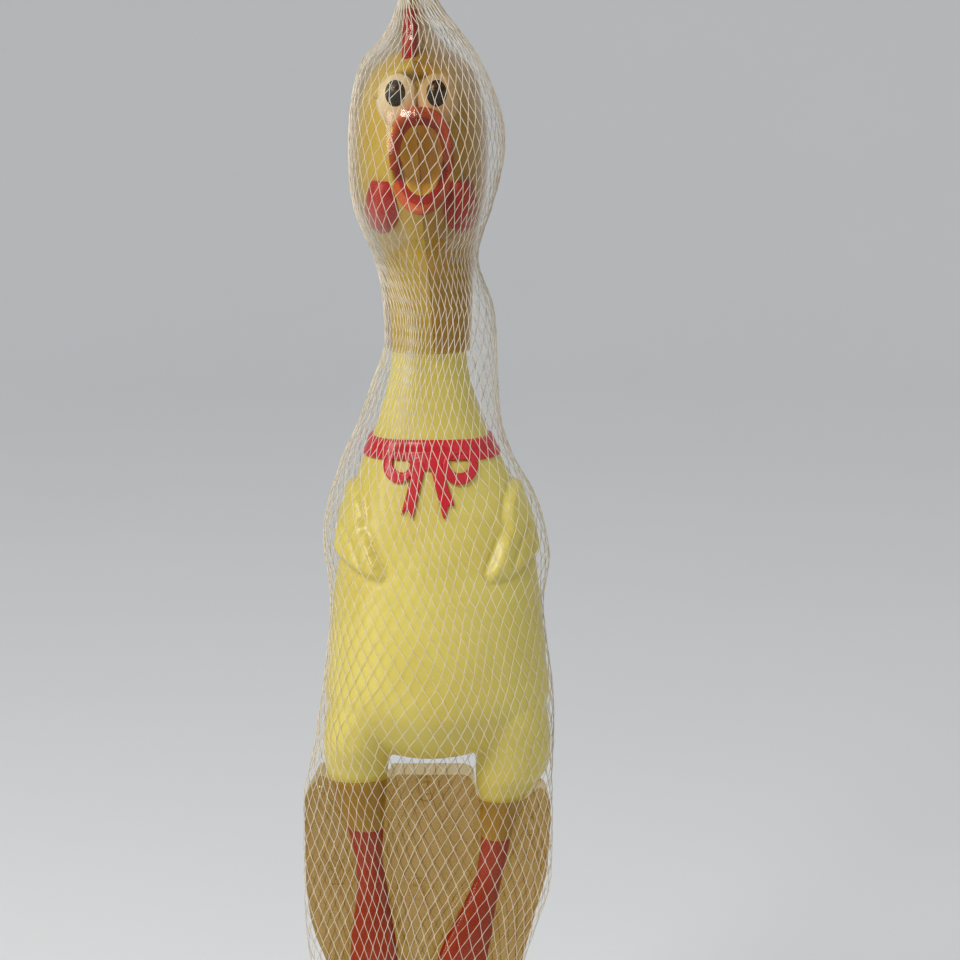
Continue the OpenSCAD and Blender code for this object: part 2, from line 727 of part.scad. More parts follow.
head_skin();
comb();
upper_beak();
lower_beak();
left_wattle();
right_wattle();
left_eye_white();
right_eye_white();
left_pupil();
right_pupil();
squawker_barrel();
reed_seat();
reed_wedge();
reed_tongue();
head_shell_left();
head_shell_right();
neck_skin();
torso_skin();
belly_skin();
left_wing();
right_wing();
neck_ribbon();
left_thigh_skin();
right_thigh_skin();
left_drumstick();
right_drumstick();
left_leg();
right_leg();
foot_shell_front();
foot_shell_rear();
net_head();
net_neck();
net_torso();
net_thighs();
net_feet();
net_clip_top();
net_hang_loop();
net_clip_bottom();
net_tail_bottom();
tag_tie();
hang_tag();
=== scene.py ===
"""Looks of the squawking rubber chicken in its net bag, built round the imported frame.

Shapes are worked out in millimetres above the base of the foot shell, with the face towards -Y,
and turned into metres in the row frame when a mesh is made.
"""

import math

import bmesh
import bpy
import numpy as np
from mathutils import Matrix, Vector, noise
from mathutils.bvhtree import BVHTree


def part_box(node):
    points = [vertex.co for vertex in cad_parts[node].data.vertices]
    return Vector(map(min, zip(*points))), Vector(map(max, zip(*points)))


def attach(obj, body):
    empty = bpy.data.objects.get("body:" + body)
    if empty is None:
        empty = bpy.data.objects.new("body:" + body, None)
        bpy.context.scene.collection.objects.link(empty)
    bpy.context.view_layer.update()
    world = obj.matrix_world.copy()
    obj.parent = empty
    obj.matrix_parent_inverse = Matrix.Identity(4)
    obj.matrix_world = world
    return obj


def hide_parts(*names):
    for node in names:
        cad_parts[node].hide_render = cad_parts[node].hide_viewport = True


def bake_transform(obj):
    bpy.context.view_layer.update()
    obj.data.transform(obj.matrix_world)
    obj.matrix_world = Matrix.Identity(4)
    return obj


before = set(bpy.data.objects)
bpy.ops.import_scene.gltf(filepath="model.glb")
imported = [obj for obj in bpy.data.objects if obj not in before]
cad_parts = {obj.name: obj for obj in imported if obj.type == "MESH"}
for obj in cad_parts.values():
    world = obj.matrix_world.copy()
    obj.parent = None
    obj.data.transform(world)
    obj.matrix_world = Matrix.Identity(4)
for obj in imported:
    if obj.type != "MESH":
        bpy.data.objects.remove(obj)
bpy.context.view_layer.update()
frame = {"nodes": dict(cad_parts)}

MM = 0.001
BASE_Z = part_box("foot_shell_front")[0][2]      # row height of the foot shell's lower edge, in metres


def row(point):
    """A point in millimetres above the base, as metres in the row frame."""
    return Vector((point[0] * MM, point[1] * MM, BASE_Z + point[2] * MM))


def height_mm(z):
    """A row height in metres as millimetres above the base."""
    return (z - BASE_Z) / MM


# ------------------------------------------------------------------ camera

VIEW_CENTRE = (18.2, 0, 218.5)
VIEW_HEIGHT = 362.0
VIEW_DISTANCE = 1100.0
VIEW_ELEVATION = math.radians(9.5)
SENSOR_WIDTH = 36.0
FAR_CLIP = 50.0      # metres


def add_camera():
    camera = bpy.data.objects.new("camera", bpy.data.cameras.new("camera"))
    bpy.context.collection.objects.link(camera)
    camera.data.sensor_width = SENSOR_WIDTH
    camera.data.lens = SENSOR_WIDTH * VIEW_DISTANCE / VIEW_HEIGHT
    target = row(VIEW_CENTRE)
    away = Vector((0, -math.cos(VIEW_ELEVATION), math.sin(VIEW_ELEVATION)))
    camera.location = target + away * VIEW_DISTANCE * MM
    camera.rotation_euler = (-away).to_track_quat("-Z", "Y").to_euler()
    camera.data.clip_end = FAR_CLIP
    bpy.context.scene.camera = camera
    bpy.context.scene.view_settings.view_transform = "Standard"


add_camera()

# ------------------------------------------------------------------ landmarks

HALF_GAP = 0.15      # half of the gap that CAD leaves between two nodes of the skin
CLIP_GRIP = 3        # the net is pinched this far above the lower edge of its top clip
DRUM_Z = height_mm(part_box("left_drumstick")[1][2]) + HALF_GAP
HIP_Z = height_mm(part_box("left_thigh_skin")[1][2]) + HALF_GAP
NECK_LOW_Z = height_mm(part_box("neck_skin")[0][2]) - HALF_GAP
NECK_TOP_Z = height_mm(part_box("neck_skin")[1][2]) + HALF_GAP
NECK_MID_Z = (NECK_LOW_Z + NECK_TOP_Z) / 2
CLIP_Z = height_mm(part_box("net_clip_top")[0][2]) + CLIP_GRIP
# Middle x and height of each knee, where the orange paint starts, and the slope of its edge
KNEES = {side: (x, height_mm(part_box(f"{side}_drumstick")[0][2]))
         for side, x in (("left", -25.5), ("right", 24.5))}
KNEE_SLOPE = (0.05, -0.12)

# Sections are (height, middle x, middle y, half width, half depth)
TRUNK = [
    (111.6, -1, 2, 5, 6), (113.5, -1, 1.5, 15, 14), (117, 0, 1, 24.5, 21.5), (125, 1, 0, 35, 28.5),
    (135, 2, -1, 42.3, 33.5), (150, 2, -1, 41.3, 35), (173, 2, -0.5, 39.3, 34), (188, 2, 0, 37.3, 32),
    (203, 1.5, 0, 34.8, 29), (218, 1, 0, 30, 25.5), (236, -0.2, 0, 22, 20), (252, -0.6, 0, 16.5, 16),
    (262, -0.8, 0, 14.4, 14), (268, -0.8, 0, 14, 14), (278, -0.9, 0, 14.4, 14.2)]
HEAD = [
    (258, -0.7, 0, 14.8, 14.6), (268, -0.8, 0, 14, 14), (287, -1, 0, 14.8, 14.5),
    (305, -1.8, 0, 16, 16), (316, -3.2, -1, 20, 21.5), (330, -4.3, -2.5, 23, 25.5),
    (345, -4.5, -2.5, 23.5, 26.5), (358, -4.5, -1.5, 22, 25.5), (368, -4.6, 0.5, 18.6, 22.5),
    (374.5, -4.7, 1.5, 13.2, 17), (378, -4.8, 2, 8, 10.5), (379.6, -5, 2, 3, 4)]
LEFT_THIGH = [
    (92, -27.1, 0, 9, 9.6), (100, -28, -2, 10.5, 11), (104.5, -28.5, -3, 11.3, 12),
    (111, -28.6, -4, 12.2, 13.8), (120, -27.6, -5, 13.9, 16.8), (132, -25, -5, 14.5, 19.5),
    (143, -22, -4, 13, 17), (150, -20, -3, 8, 10)]
RIGHT_THIGH = [
    (92, 25.8, 0, 8, 8.8), (100, 27.5, -2, 10.5, 11), (104.5, 29.3, -3, 12.7, 12.8),
    (111, 30.5, -4, 13.9, 14), (120, 30.8, -5, 14.2, 16.5), (132, 28.5, -5, 15, 19.5),
    (143, 25.5, -4, 13.5, 17), (150, 23, -3, 8, 10)]
LEFT_LEG = [
    (26, -22.4, -6, 9.5, 4.4), (38, -22.8, -4.5, 9, 4.8), (52, -23.2, -2, 7, 5.5), (60, -23.4, -1, 5.9, 5.5),
    (72, -24.8, 0, 5.5, 5.5), (84, -26, 0, 7.4, 7.4), (92, -27.1, 0, 9, 9.6), (102, -28.2, -2, 10.6, 11.4)]
RIGHT_LEG = [
    (26, 9.6, -6, 9.5, 4.4), (38, 13.1, -4.5, 9.2, 4.8), (52, 17.9, -2, 6.6, 5.5), (65, 22, -0.5, 5.3, 5.4),
    (80, 24.5, 0, 5.9, 6.2), (88, 25.3, 0, 7.2, 8), (96, 26.4, 0, 8.8, 9.8), (102, 27.8, -2, 10.2, 11)]


def spline(a, b, c, d, t):
    """The point at share t of the smooth curve from b to c, with a before them and d after."""
    return 0.5 * (2 * b + (c - a) * t + (2 * a - 5 * b + 4 * c - d) * t ** 2
                  + (3 * b - a - 3 * c + d) * t ** 3)


def dense(keys, step):
    """Sections about `step` apart on a smooth curve through the keys."""
    keys = np.array(keys, float)
    last, out = len(keys) - 1, []
    for i in range(last):
        near = [keys[min(max(i + k, 0), last)] for k in (-1, 0, 1, 2)]
        count = max(1, round(abs(near[2][0] - near[1][0]) / step))
        out += [spline(*near, t) for t in np.arange(count) / count]
    return np.array(out + [keys[-1]])


def smooth_path(keys, count):
    """Points on a smooth open curve through the keys."""
    keys = np.array(keys, float)
    last, out = len(keys) - 1, []
    for t in np.linspace(0, last, count):
        i = min(int(t), last - 1)
        out.append(spline(*(keys[min(max(i + k, 0), last)] for k in (-1, 0, 1, 2)), t - i))
    return np.array(out)


def closed_curve(keys, count):
    """Points on a smooth closed curve through the keys."""
    keys = np.array(keys, float)
    out = []
    for t in np.linspace(0, len(keys), count, endpoint=False):
        i = int(t)
        out.append(spline(*(keys[(i + k) % len(keys)] for k in (-1, 0, 1, 2)), t - i))
    return np.array(out)


def full_turn(count):
    """Angles at equal steps round a circle."""
    return np.linspace(0, 2 * np.pi, count, endpoint=False)


def section_at(keys, z):
    """Middle x, middle y, half width and half depth at height z, for one height or an array."""
    table = dense(keys, 1.0)
    return [np.interp(z, table[:, 0], table[:, k]) for k in range(1, 5)]


# ------------------------------------------------------------------ meshes


def new_object(name, points, faces, smooth=True):
    """A mesh object from points in millimetres above the base."""
    mesh = bpy.data.meshes.new(name)
    points = np.asarray(points, float) * MM
    points[:, 2] += BASE_Z
    faces = faces.tolist() if isinstance(faces, np.ndarray) else faces
    mesh.from_pydata(points.tolist(), [], faces)
    mesh.polygons.foreach_set("use_smooth", np.full(len(mesh.polygons), smooth))
    mesh.update()
    obj = bpy.data.objects.new(name, mesh)
    bpy.context.collection.objects.link(obj)
    return obj


def read_mm(items, attribute):
    """Where each vertex or face is, in millimetres above the base."""
    co = np.empty(len(items) * 3)
    items.foreach_get(attribute, co)
    co = co.reshape(-1, 3) / MM
    co[:, 2] -= BASE_Z / MM
    return co


def points_mm(obj):
    return read_mm(obj.data.vertices, "co")


def set_points_mm(obj, co):
    out = np.array(co) * MM
    out[:, 2] += BASE_Z
    obj.data.vertices.foreach_set("co", out.ravel())
    obj.data.update()


def normals(obj):
    n = np.empty(len(obj.data.vertices) * 3)
    obj.data.vertex_normals.foreach_get("vector", n)
    return n.reshape(-1, 3)


def push_out(obj, by):
    """Moves each point of an object along its normal, by so many millimetres."""
    set_points_mm(obj, points_mm(obj) + normals(obj) * by[:, None])


def smooth_shaded(mesh):
    mesh.polygons.foreach_set("use_smooth", np.ones(len(mesh.polygons), bool))


def grid_faces(rows, columns, wrap):
    """Quads of a grid of points in row order. With wrap the last column joins the first."""
    last = columns if wrap else columns - 1
    k, i = np.meshgrid(np.arange(rows - 1), np.arange(last), indexing="ij")
    j = (i + 1) % columns
    return np.stack([k * columns + i, k * columns + j, (k + 1) * columns + j, (k + 1) * columns + i],
                    axis=-1).reshape(-1, 4)


def capped(rings, ends, count):
    """Points and faces of rings of `count` points each, closed by a fan to each end point."""
    faces = grid_faces(len(rings) // count, count, True).tolist()
    low, first = len(rings), len(rings) - count
    for i in range(count):
        j = (i + 1) % count
        faces += [[low, j, i], [low + 1, first + i, first + j]]
    return np.vstack([rings, ends]), faces


def loft(keys, count=72, step=1.5):
    """Points and faces of a closed loft through smooth sections."""
    table = dense(keys, step)
    turn = full_turn(count)
    rings = np.stack([
        table[:, 1:2] + table[:, 3:4] * np.cos(turn),
        table[:, 2:3] + table[:, 4:5] * np.sin(turn),
        np.repeat(table[:, 0:1], count, axis=1)], axis=-1).reshape(-1, 3)
    return capped(rings, [[s[1], s[2], s[0]] for s in (table[0], table[-1])], count)


def ball(centre, radii, count=32):
    """Points and faces of an ellipsoid."""
    lift = np.linspace(-np.pi / 2, np.pi / 2, count // 2 + 1)[1:-1]
    a, b = np.meshgrid(lift, full_turn(count), indexing="ij")
    rings = np.stack([np.cos(a) * np.cos(b), np.cos(a) * np.sin(b), np.sin(a)], axis=-1).reshape(-1, 3)
    points, faces = capped(rings, [[0, 0, -1], [0, 0, 1]], count)
    return points * radii + centre, faces


def joined(parts):
    """Points and faces of several shapes as one."""
    points, faces, start = [], [], 0
    for part_points, part_faces in parts:
        points.append(np.asarray(part_points, float))
        faces += [[v + start for v in face] for face in part_faces]
        start += len(part_points)
    return np.vstack(points), faces


def modified(obj, **steps):
    """The object with modifiers applied, each given by its kind in lower case and its settings."""
    for kind, settings in steps.items():
        modifier = obj.modifiers.new(kind, kind.upper())
        for name, value in settings.items():
            setattr(modifier, name, value)
    bpy.context.view_layer.update()
    depsgraph = bpy.context.evaluated_depsgraph_get()
    mesh = bpy.data.meshes.new_from_object(obj.evaluated_get(depsgraph))
    old = obj.data
    obj.modifiers.clear()
    obj.data = mesh
    bpy.data.meshes.remove(old)
    smooth_shaded(mesh)
    return obj


def edited(obj):
    """An editable copy of the object's mesh."""
    mesh = bmesh.new()
    mesh.from_mesh(obj.data)
    return mesh


def slice_plane(mesh, place, way, tolerance, **more):
    """Adds an edge loop where a plane crosses an editable mesh."""
    geometry = mesh.verts[:] + mesh.edges[:] + mesh.faces[:]
    bmesh.ops.bisect_plane(mesh, geom=geometry, plane_co=place, plane_no=way, dist=tolerance, **more)


FINE, COARSE = 1e-7, 1e-5      # how near a plane a point counts as on it, in the mesh's own unit


def smoothstep(low, high, value):
    t = np.clip((value - low) / (high - low), 0, 1)
    return t * t * (3 - 2 * t)


def edge_distance(u, v, a, b):
    """Distance of points from the straight edge between a and b."""
    edge = b - a
    t = np.clip(((u - a[0]) * edge[0] + (v - a[1]) * edge[1]) / (edge @ edge), 0, 1)
    return np.hypot(u - a[0] - t * edge[0], v - a[1] - t * edge[1])


def line_distance(u, v, line):
    """Distance of points from an open line."""
    line = np.array(line, float)
    return np.min([edge_distance(u, v, a, b) for a, b in zip(line, line[1:])], axis=0)


def polygon_distance(u, v, outline):
    """Distance of points from a closed outline, positive inside."""
    ring = np.array([*outline, outline[0]], float)
    inside = np.zeros(u.shape, bool)
    for a, b in zip(ring, ring[1:]):
        edge = b - a
        slope = edge[0] / edge[1] if edge[1] else 0
        inside ^= ((a[1] > v) != (b[1] > v)) & (u < a[0] + (v - a[1]) * slope)
    near = line_distance(u, v, ring)
    return np.where(inside, near, -near)


def ripple(points, scale, seed):
    """Smooth noise between -1 and 1 at each point."""
    shift = Vector((seed * 7.3, seed * 3.1, seed * 5.7))
    return np.array([noise.noise(Vector(p) / scale + shift) for p in points])


# ------------------------------------------------------------------ figure

FACE_X = -2.8
MOUTH_Z = 340.6
MOUTH_REACH = (11.5, 19)       # half width and half height of the hollow behind the beak
MOUTH_Y = -18
TOE_TIP_Y, ANKLE_Y = -8.5, -3.5
TOES = ((-10.5, 9), (0.5, 5.5), (11, 8.5))       # each tip's place across the foot and its height
BROW_MIDDLE, BROW_REACH = (-4.5, -24.5, 361.5), (13.8, 2.5, 11.4)
BROW_THICK, BROW_DEEP = 2.7, 4.6
TAIL = [(122, 2, 30, 5, 5), (126, 2, 33.5, 6.5, 6), (131, 2, 36, 6, 5.5), (136, 2, 38, 4, 3.5),
        (138.5, 2, 38.5, 1.5, 1.5)]
CHEEKS = [(-17.5, -14, 337), (9.5, -14, 337)]
CHEEK_RADII = (7, 8.5, 9)
SKIN_VOXEL = 0.95


def toes(side_x, side_z, lean):
    """Three toes with a thin web, fanning down from the ankle."""
    parts = []
    ankle = np.array([side_x, ANKLE_Y, side_z])
    for aside, drop in TOES:
        tip = np.array([side_x + lean + aside, TOE_TIP_Y, drop + 1.5])
        rings = []
        for t in np.linspace(0, 1, 9):
            x, y, z = tip * (1 - t) + ankle * t
            rings.append((z, x, y - 1.2 * math.sin(math.pi * t),
                          2.2 + 1.9 * math.sin(math.pi * (0.25 + t * 0.6)), 2.0 + 1.6 * t))
        parts.append(loft(rings, 24, 2))
    web = [(9, side_x + lean, -8, 9.5, 1.3), (14, side_x + lean * 0.9, -7.8, 11, 1.7),
           (24, side_x + lean * 0.6, -6.5, 10.2, 2.4), (36, side_x + lean * 0.3, -4.8, 8.5, 3.4),
           (46, side_x, -3, 6.5, 4.5)]
    parts.append(loft(web, 32, 2))
    return parts


def brow():
    """A rounded band that arches over both eyes."""
    points, count, steps = [], 20, 40
    (x, y, z), (wide, deep, high) = BROW_MIDDLE, BROW_REACH
    for t in np.linspace(math.radians(2), math.radians(178), steps):
        c, s = math.cos(t), math.sin(t)
        out = Vector((c, 0.12 - 0.35 * s, s)).normalized()
        middle = Vector((x + wide * c, y + deep * s, z + high * s))
        for a in full_turn(count):
            points.append(middle + out * (BROW_THICK * math.cos(a))
                          + Vector((0, -1, 0)) * (BROW_DEEP * math.sin(a)))
    faces = grid_faces(steps, count, True).tolist()
    faces += [list(range(count))[::-1], list(range((steps - 1) * count, steps * count))]
    return [tuple(p) for p in points], faces


WING_MM_PER_DEGREE = 0.62
WING = [(84, 219), (72, 218), (60, 212.5), (55, 207), (54, 203.5), (47, 199), (37, 190.5), (34.5, 187.3),
        (36.5, 185), (46, 185.6), (56, 187), (66, 189), (78, 190.5), (92, 191.5), (104, 193), (116, 192),
        (124, 197), (124, 206), (112, 215), (98, 219)]
WING_LOBE = [(64, 218), (54, 209.5), (46, 201.5), (36, 188.5), (46, 188.5), (51, 191), (56, 206), (74, 217)]
WING_GROOVES = [[(52, 190), (62, 198), (76, 203)], [(70, 190.5), (80, 199), (93, 204)],
                [(104, 194), (106, 201), (110, 207)]]


def wing_relief(points):
    """Height of the folded wings over the torso, in millimetres."""
    cx, cy, _, _ = section_at(TRUNK, points[:, 2])
    turn = np.degrees(np.arctan2(np.abs(points[:, 0] - cx), cy - points[:, 1]))
    u, v = turn * WING_MM_PER_DEGREE, points[:, 2]

    def flat(outline):
        return [(a * WING_MM_PER_DEGREE, b) for a, b in outline]

    edge = polygon_distance(u, v, flat(WING))
    lobe = polygon_distance(u, v, flat(WING_LOBE))
    lift = 2.5 * smoothstep(-0.8, 2.4, edge) + 0.7 * smoothstep(-0.8, 2.2, lobe)
    for groove in WING_GROOVES:
        near = 1 - smoothstep(0, 1.6, line_distance(u, v, flat(groove)))
        lift -= near * smoothstep(0, 1.5, edge)
    trough = 0.7 * (1 - smoothstep(0, 1.4, np.abs(edge + 1.2)))
    return np.where((v > 172) & (v < 222), lift - trough, 0)


def build_skin():
    """The whole figure as one closed skin, all but the painted pieces of its face."""
    parts = [loft(TRUNK, 96), loft(HEAD, 96), loft(LEFT_THIGH, 64), loft(RIGHT_THIGH, 64),
             loft(LEFT_LEG, 48), loft(RIGHT_LEG, 48), loft(TAIL, 28, 1.5), brow()]
    parts += [ball(cheek, CHEEK_RADII) for cheek in CHEEKS]
    parts += toes(-23, 48, 0.8) + toes(16.5, 48, -10.5)
    skin = modified(new_object("skin", *joined(parts)),
                    remesh={"mode": "VOXEL", "voxel_size": SKIN_VOXEL * MM},
                    smooth={"factor": 0.5, "iterations": 8})
    points = points_mm(skin)
    lift = wing_relief(points)
    soft = ripple(points, 26, 1) * 0.25 + ripple(points, 9, 2) * 0.08
    points = points + normals(skin) * (lift + soft)[:, None]
    reach = np.hypot((points[:, 0] - FACE_X) / MOUTH_REACH[0], (points[:, 2] - MOUTH_Z) / MOUTH_REACH[1])
    mouth = (1 - smoothstep(0.75, 1.0, reach)) * (points[:, 1] < -5)
    points[:, 1] += (np.maximum(points[:, 1], MOUTH_Y) - points[:, 1]) * mouth
    set_points_mm(skin, points)
    return skin


def cut(obj, point, normal):
    """Adds an edge loop where a plane crosses the object."""
    mesh = edited(obj)
    slice_plane(mesh, row(point), Vector(normal), FINE)
    mesh.to_mesh(obj.data)
    mesh.free()


def piece_of(source, name, chosen, smooth_normals):
    """The chosen faces of a skin as an object of its own, shaded as part of the whole skin."""
    mesh = source.data
    faces = [tuple(mesh.polygons[i].vertices) for i in np.nonzero(chosen)[0]]
    used = np.unique(np.fromiter((v for face in faces for v in face), int))
    renumber = {int(v): k for k, v in enumerate(used)}
    piece = new_object(name, points_mm(source)[used], [[renumber[v] for v in face] for face in faces])
    piece.data.normals_split_custom_set_from_vertices(smooth_normals[used].tolist())
    return piece


DENT_EDGE_Y = -31.0
DENT_MIDDLE_Y = -35.8
DENT_Z = 160.0
# Middle line between the legs: heights and their x
BETWEEN_Z, BETWEEN_X = [0, 40, 60, 90], [-8.5, -6, -2, 0]


def split_skin(skin):
    """Divides the skin where it bends and where its colour changes."""
    for z in (NECK_TOP_Z, NECK_MID_Z, NECK_LOW_Z, HIP_Z, DRUM_Z):
        cut(skin, (0, 0, z), (0, 0, 1))
    for knee_x, knee_z in KNEES.values():
        cut(skin, (knee_x, 0, knee_z), (*KNEE_SLOPE, 1))
    cut(skin, (0, DENT_EDGE_Y, DENT_Z), (0, 1, 0))
    all_normals = normals(skin)
    x, y, z = read_mm(skin.data.polygons, "center").T
    left_knee, right_knee = (knee_z - KNEE_SLOPE[0] * (x - knee_x) - KNEE_SLOPE[1] * y
                             for knee_x, knee_z in KNEES.values())
    left = x < np.interp(z, BETWEEN_Z, BETWEEN_X)
    orange = np.where(left, z < left_knee, z < right_knee)
    dent = (y < DENT_EDGE_Y) & (z > 115) & (z < 225)
    groups = {
        "head_skin_soft": z > NECK_TOP_Z,
        "neck_skin_upper": (z < NECK_TOP_Z) & (z > NECK_MID_Z),
        "neck_skin_lower": (z < NECK_MID_Z) & (z > NECK_LOW_Z),
        "torso_skin_soft": (z < NECK_LOW_Z) & (z > HIP_Z) & ~dent,
        "belly_skin_soft": dent}
    parts = {"thigh": (z < HIP_Z) & (z > DRUM_Z), "drumstick": (z < DRUM_Z) & ~orange, "leg": orange}
    for part, chosen in parts.items():
        groups[f"left_{part}_soft"] = chosen & left
        groups[f"right_{part}_soft"] = chosen & ~left
    return {name: piece_of(skin, name, chosen, all_normals) for name, chosen in groups.items()}


# ------------------------------------------------------------------ face

# Half of the beak's outline: distance from its middle, and height
BEAK_SIDE = [(0, 360), (5.2, 358.9), (8.5, 355.8), (10.5, 351), (11.5, 345.5), (11.7, 339.5),
             (11.4, 334.5), (10.4, 330), (8.2, 326), (4.9, 322.8), (0, 321.3)]
GAPE_Z = 333.5
BEAK_COUNT = 120
FACE_Y = -15.0


def build_beak():
    """The open beak: painted outside, darker lining, and the mouth behind it."""
    right = [(FACE_X + x, z) for x, z in BEAK_SIDE]
    left = [(FACE_X - x, z) for x, z in BEAK_SIDE[-2:0:-1]]
    rim = closed_curve(right + left, BEAK_COUNT)
    open_by = smoothstep(0, 14, np.abs(rim[:, 1] - GAPE_Z))
    rim_y = -24 - 22 * open_by
    flare = 1 + 0.012 * np.sin(np.arange(BEAK_COUNT) * 0.9)

    def band(name, profile, keep):
        rows = []
        for scale, y in profile:
            x = FACE_X + (rim[:, 0] - FACE_X) * scale * flare
            z = MOUTH_Z + (rim[:, 1] - MOUTH_Z) * scale
            rows.append(np.stack([x, np.broadcast_to(y, x.shape), z], axis=1))
        faces = grid_faces(len(rows), BEAK_COUNT, True)[:, ::-1]
        column = np.tile(np.arange(BEAK_COUNT), len(rows) - 1)
        middle = (rim[column, 1] + rim[(column + 1) % BEAK_COUNT, 1]) / 2
        obj = new_object(name, np.vstack(rows), faces[keep(middle)])
        return modified(obj, subsurf={"levels": 1, "render_levels": 1})

    outside = [(0.92, FACE_Y), (0.95, FACE_Y * 0.6 + rim_y * 0.4), (0.98, FACE_Y * 0.25 + rim_y * 0.75),
               (1.0, rim_y + 1.6), (0.985, rim_y + 0.4), (0.945, rim_y - 0.1), (0.9, rim_y),
               (0.845, rim_y + 0.5), (0.81, rim_y + 1.2)]
    lining = [(0.815, rim_y + 1.1), (0.77, rim_y + 2.1), (0.71, np.minimum(rim_y + 4, -21.8)),
              (0.64, np.minimum(rim_y + 8, -21.2))]
    inside = [(0.65, np.minimum(rim_y + 7, -21.5)), (0.6, np.minimum(rim_y * 0.5 - 11, -21)),
              (0.48, -21.0), (0.3, -20.4), (0.1, -20.2), (0.004, -20.1)]
    upper = band("upper_beak_soft", outside, lambda z: z > GAPE_Z)
    lower = band("lower_beak_soft", outside, lambda z: z <= GAPE_Z)
    upper_lining = band("upper_beak_lining", lining, lambda z: z > GAPE_Z)
    lower_lining = band("lower_beak_lining", lining, lambda z: z <= GAPE_Z)
    mouth = band("mouth_inside", inside, lambda z: z > 0)
    return upper, lower, upper_lining, lower_lining, mouth


def turned(points, centre, degrees):
    """Points turned about the Y axis through a centre."""
    a = math.radians(degrees)
    p = np.asarray(points) - centre
    return np.stack([p[:, 0] * math.cos(a) + p[:, 2] * math.sin(a), p[:, 1],
                     -p[:, 0] * math.sin(a) + p[:, 2] * math.cos(a)], axis=1) + centre


WATTLE_Y, WATTLE_Z, WATTLE_TOP = -19.5, 323.5, 332.4
WATTLE_RADII = (6.5, 7.8, 10.5)


def build_wattle(name, x, lean):
    """A lobe under a corner of the beak, stretched up to meet it and cut flat there."""
    centre = (x, WATTLE_Y, WATTLE_Z)
    points, faces = ball(centre, WATTLE_RADII, 56)
    points = turned(points, centre, lean)
    above = np.maximum(points[:, 2] - WATTLE_Z, 0)
    height = np.minimum(points[:, 2] + 0.5 * above, WATTLE_TOP)
    wider = smoothstep(330, 314, height) - smoothstep(326, 332, height)
    points[:, 2] = height
    points[:, 0] += (points[:, 0] - x) * 0.08 * wider
    obj = new_object(name, points, faces)
    push_out(obj, ripple(points, 5, 3) * 0.25)
    return obj


def tree_of(obj):
    """A search tree of the object's faces."""
    mesh = edited(obj)
    tree = BVHTree.FromBMesh(mesh)
    mesh.free()
    return tree


def front_of(tree, x, z, fallback=0.0):
    """How far forward a surface reaches at x, z, in millimetres."""
    hit = tree.ray_cast(row((x, -120, z)), Vector((0, 1, 0)))[0]
    return hit.y / MM if hit else fallback


# Each eye's middle x, lean in degrees, and its pupil's middle x
EYES = {"left": (-11.8, 9.0, -12.2), "right": (3.0, -9.0, 2.65)}
EYE_Y, EYE_Z, EYE_RADII = -26.2, 361.8, (7.4, 5.4, 9.4)
PUPIL_Z, PUPIL_RADII, PUPIL_RAISED = 364.2, (3.65, 4.75), 0.35


def build_eye(side):
    """A painted eyeball and the pupil on it."""
    x, lean, pupil_x = EYES[side]
    centre = (x, EYE_Y, EYE_Z)
    points, faces = ball(centre, EYE_RADII, 64)
    white = new_object(f"{side}_eye_soft", turned(points, centre, lean), faces)
    tree = tree_of(white)
    points, rings, count = [], 9, 40
    for r in np.linspace(0.02, 1, rings):
        for a in full_turn(count):
            px = pupil_x + PUPIL_RADII[0] * r * math.cos(a)
            pz = PUPIL_Z + PUPIL_RADII[1] * r * math.sin(a)
            points.append((px, front_of(tree, px, pz, -27) - PUPIL_RAISED * math.sqrt(1.01 - r * r), pz))
    pupil = new_object(f"{side}_pupil_soft", points, grid_faces(rings, count, True)[:, ::-1])
    return white, pupil


def cutout(outlines, depth, rounding, step):
    """A flat plate from closed outlines, with rounded edges and a grid of edges so that it can bend.
    Its points are (across, thickness, up), in millimetres."""
    curve = bpy.data.curves.new("cutout", "CURVE")
    curve.dimensions = "2D"
    curve.fill_mode = "BOTH"
    curve.extrude = (depth / 2 - rounding)
    curve.bevel_depth = rounding
    curve.bevel_resolution = 3
    curve.offset = -rounding
    for outline in outlines:
        spline = curve.splines.new("POLY")
        spline.points.add(len(outline) - 1)
        for point, (u, v) in zip(spline.points, outline):
            point.co = (u, v, 0, 1)
        spline.use_cyclic_u = True
    holder = bpy.data.objects.new("cutout", curve)
    bpy.context.collection.objects.link(holder)
    bpy.context.view_layer.update()
    flat = bpy.data.meshes.new_from_object(holder.evaluated_get(bpy.context.evaluated_depsgraph_get()))
    bpy.data.objects.remove(holder)
    mesh = bmesh.new()
    mesh.from_mesh(flat)
    bmesh.ops.remove_doubles(mesh, verts=mesh.verts[:], dist=1e-4)
    low = np.min([v.co for v in mesh.verts], axis=0)
    high = np.max([v.co for v in mesh.verts], axis=0)
    for axis in (0, 1):
        for at in np.arange(low[axis] + step / 2, high[axis], step):
            place, way = Vector((0, 0, 0)), Vector((0, 0, 0))
            place[axis], way[axis] = at, 1
            slice_plane(mesh, place, way, COARSE)
    points = np.array([(v.co.x, v.co.z, v.co.y) for v in mesh.verts])
    mesh.verts.index_update()
    faces = [[v.index for v in reversed(f.verts)] for f in mesh.faces]
    mesh.free()
    bpy.data.meshes.remove(flat)
    return points, faces


COMB = [(-13, 366), (-12.6, 374), (-11.5, 381), (-9.2, 387), (-7, 389.5), (-5.4, 387.8), (-4, 384.8),
        (-1.8, 388), (0.2, 392.2), (1.6, 394.2), (3.4, 391.8), (5.5, 386.4), (8, 388.6), (10.8, 391.6),
        (12.6, 389), (14, 384.2), (16.4, 385.4), (18.4, 385), (19.8, 379), (20, 366)]
COMB_X, COMB_THICKNESS, COMB_ROUNDING = -7.5, 5.4, 1.8


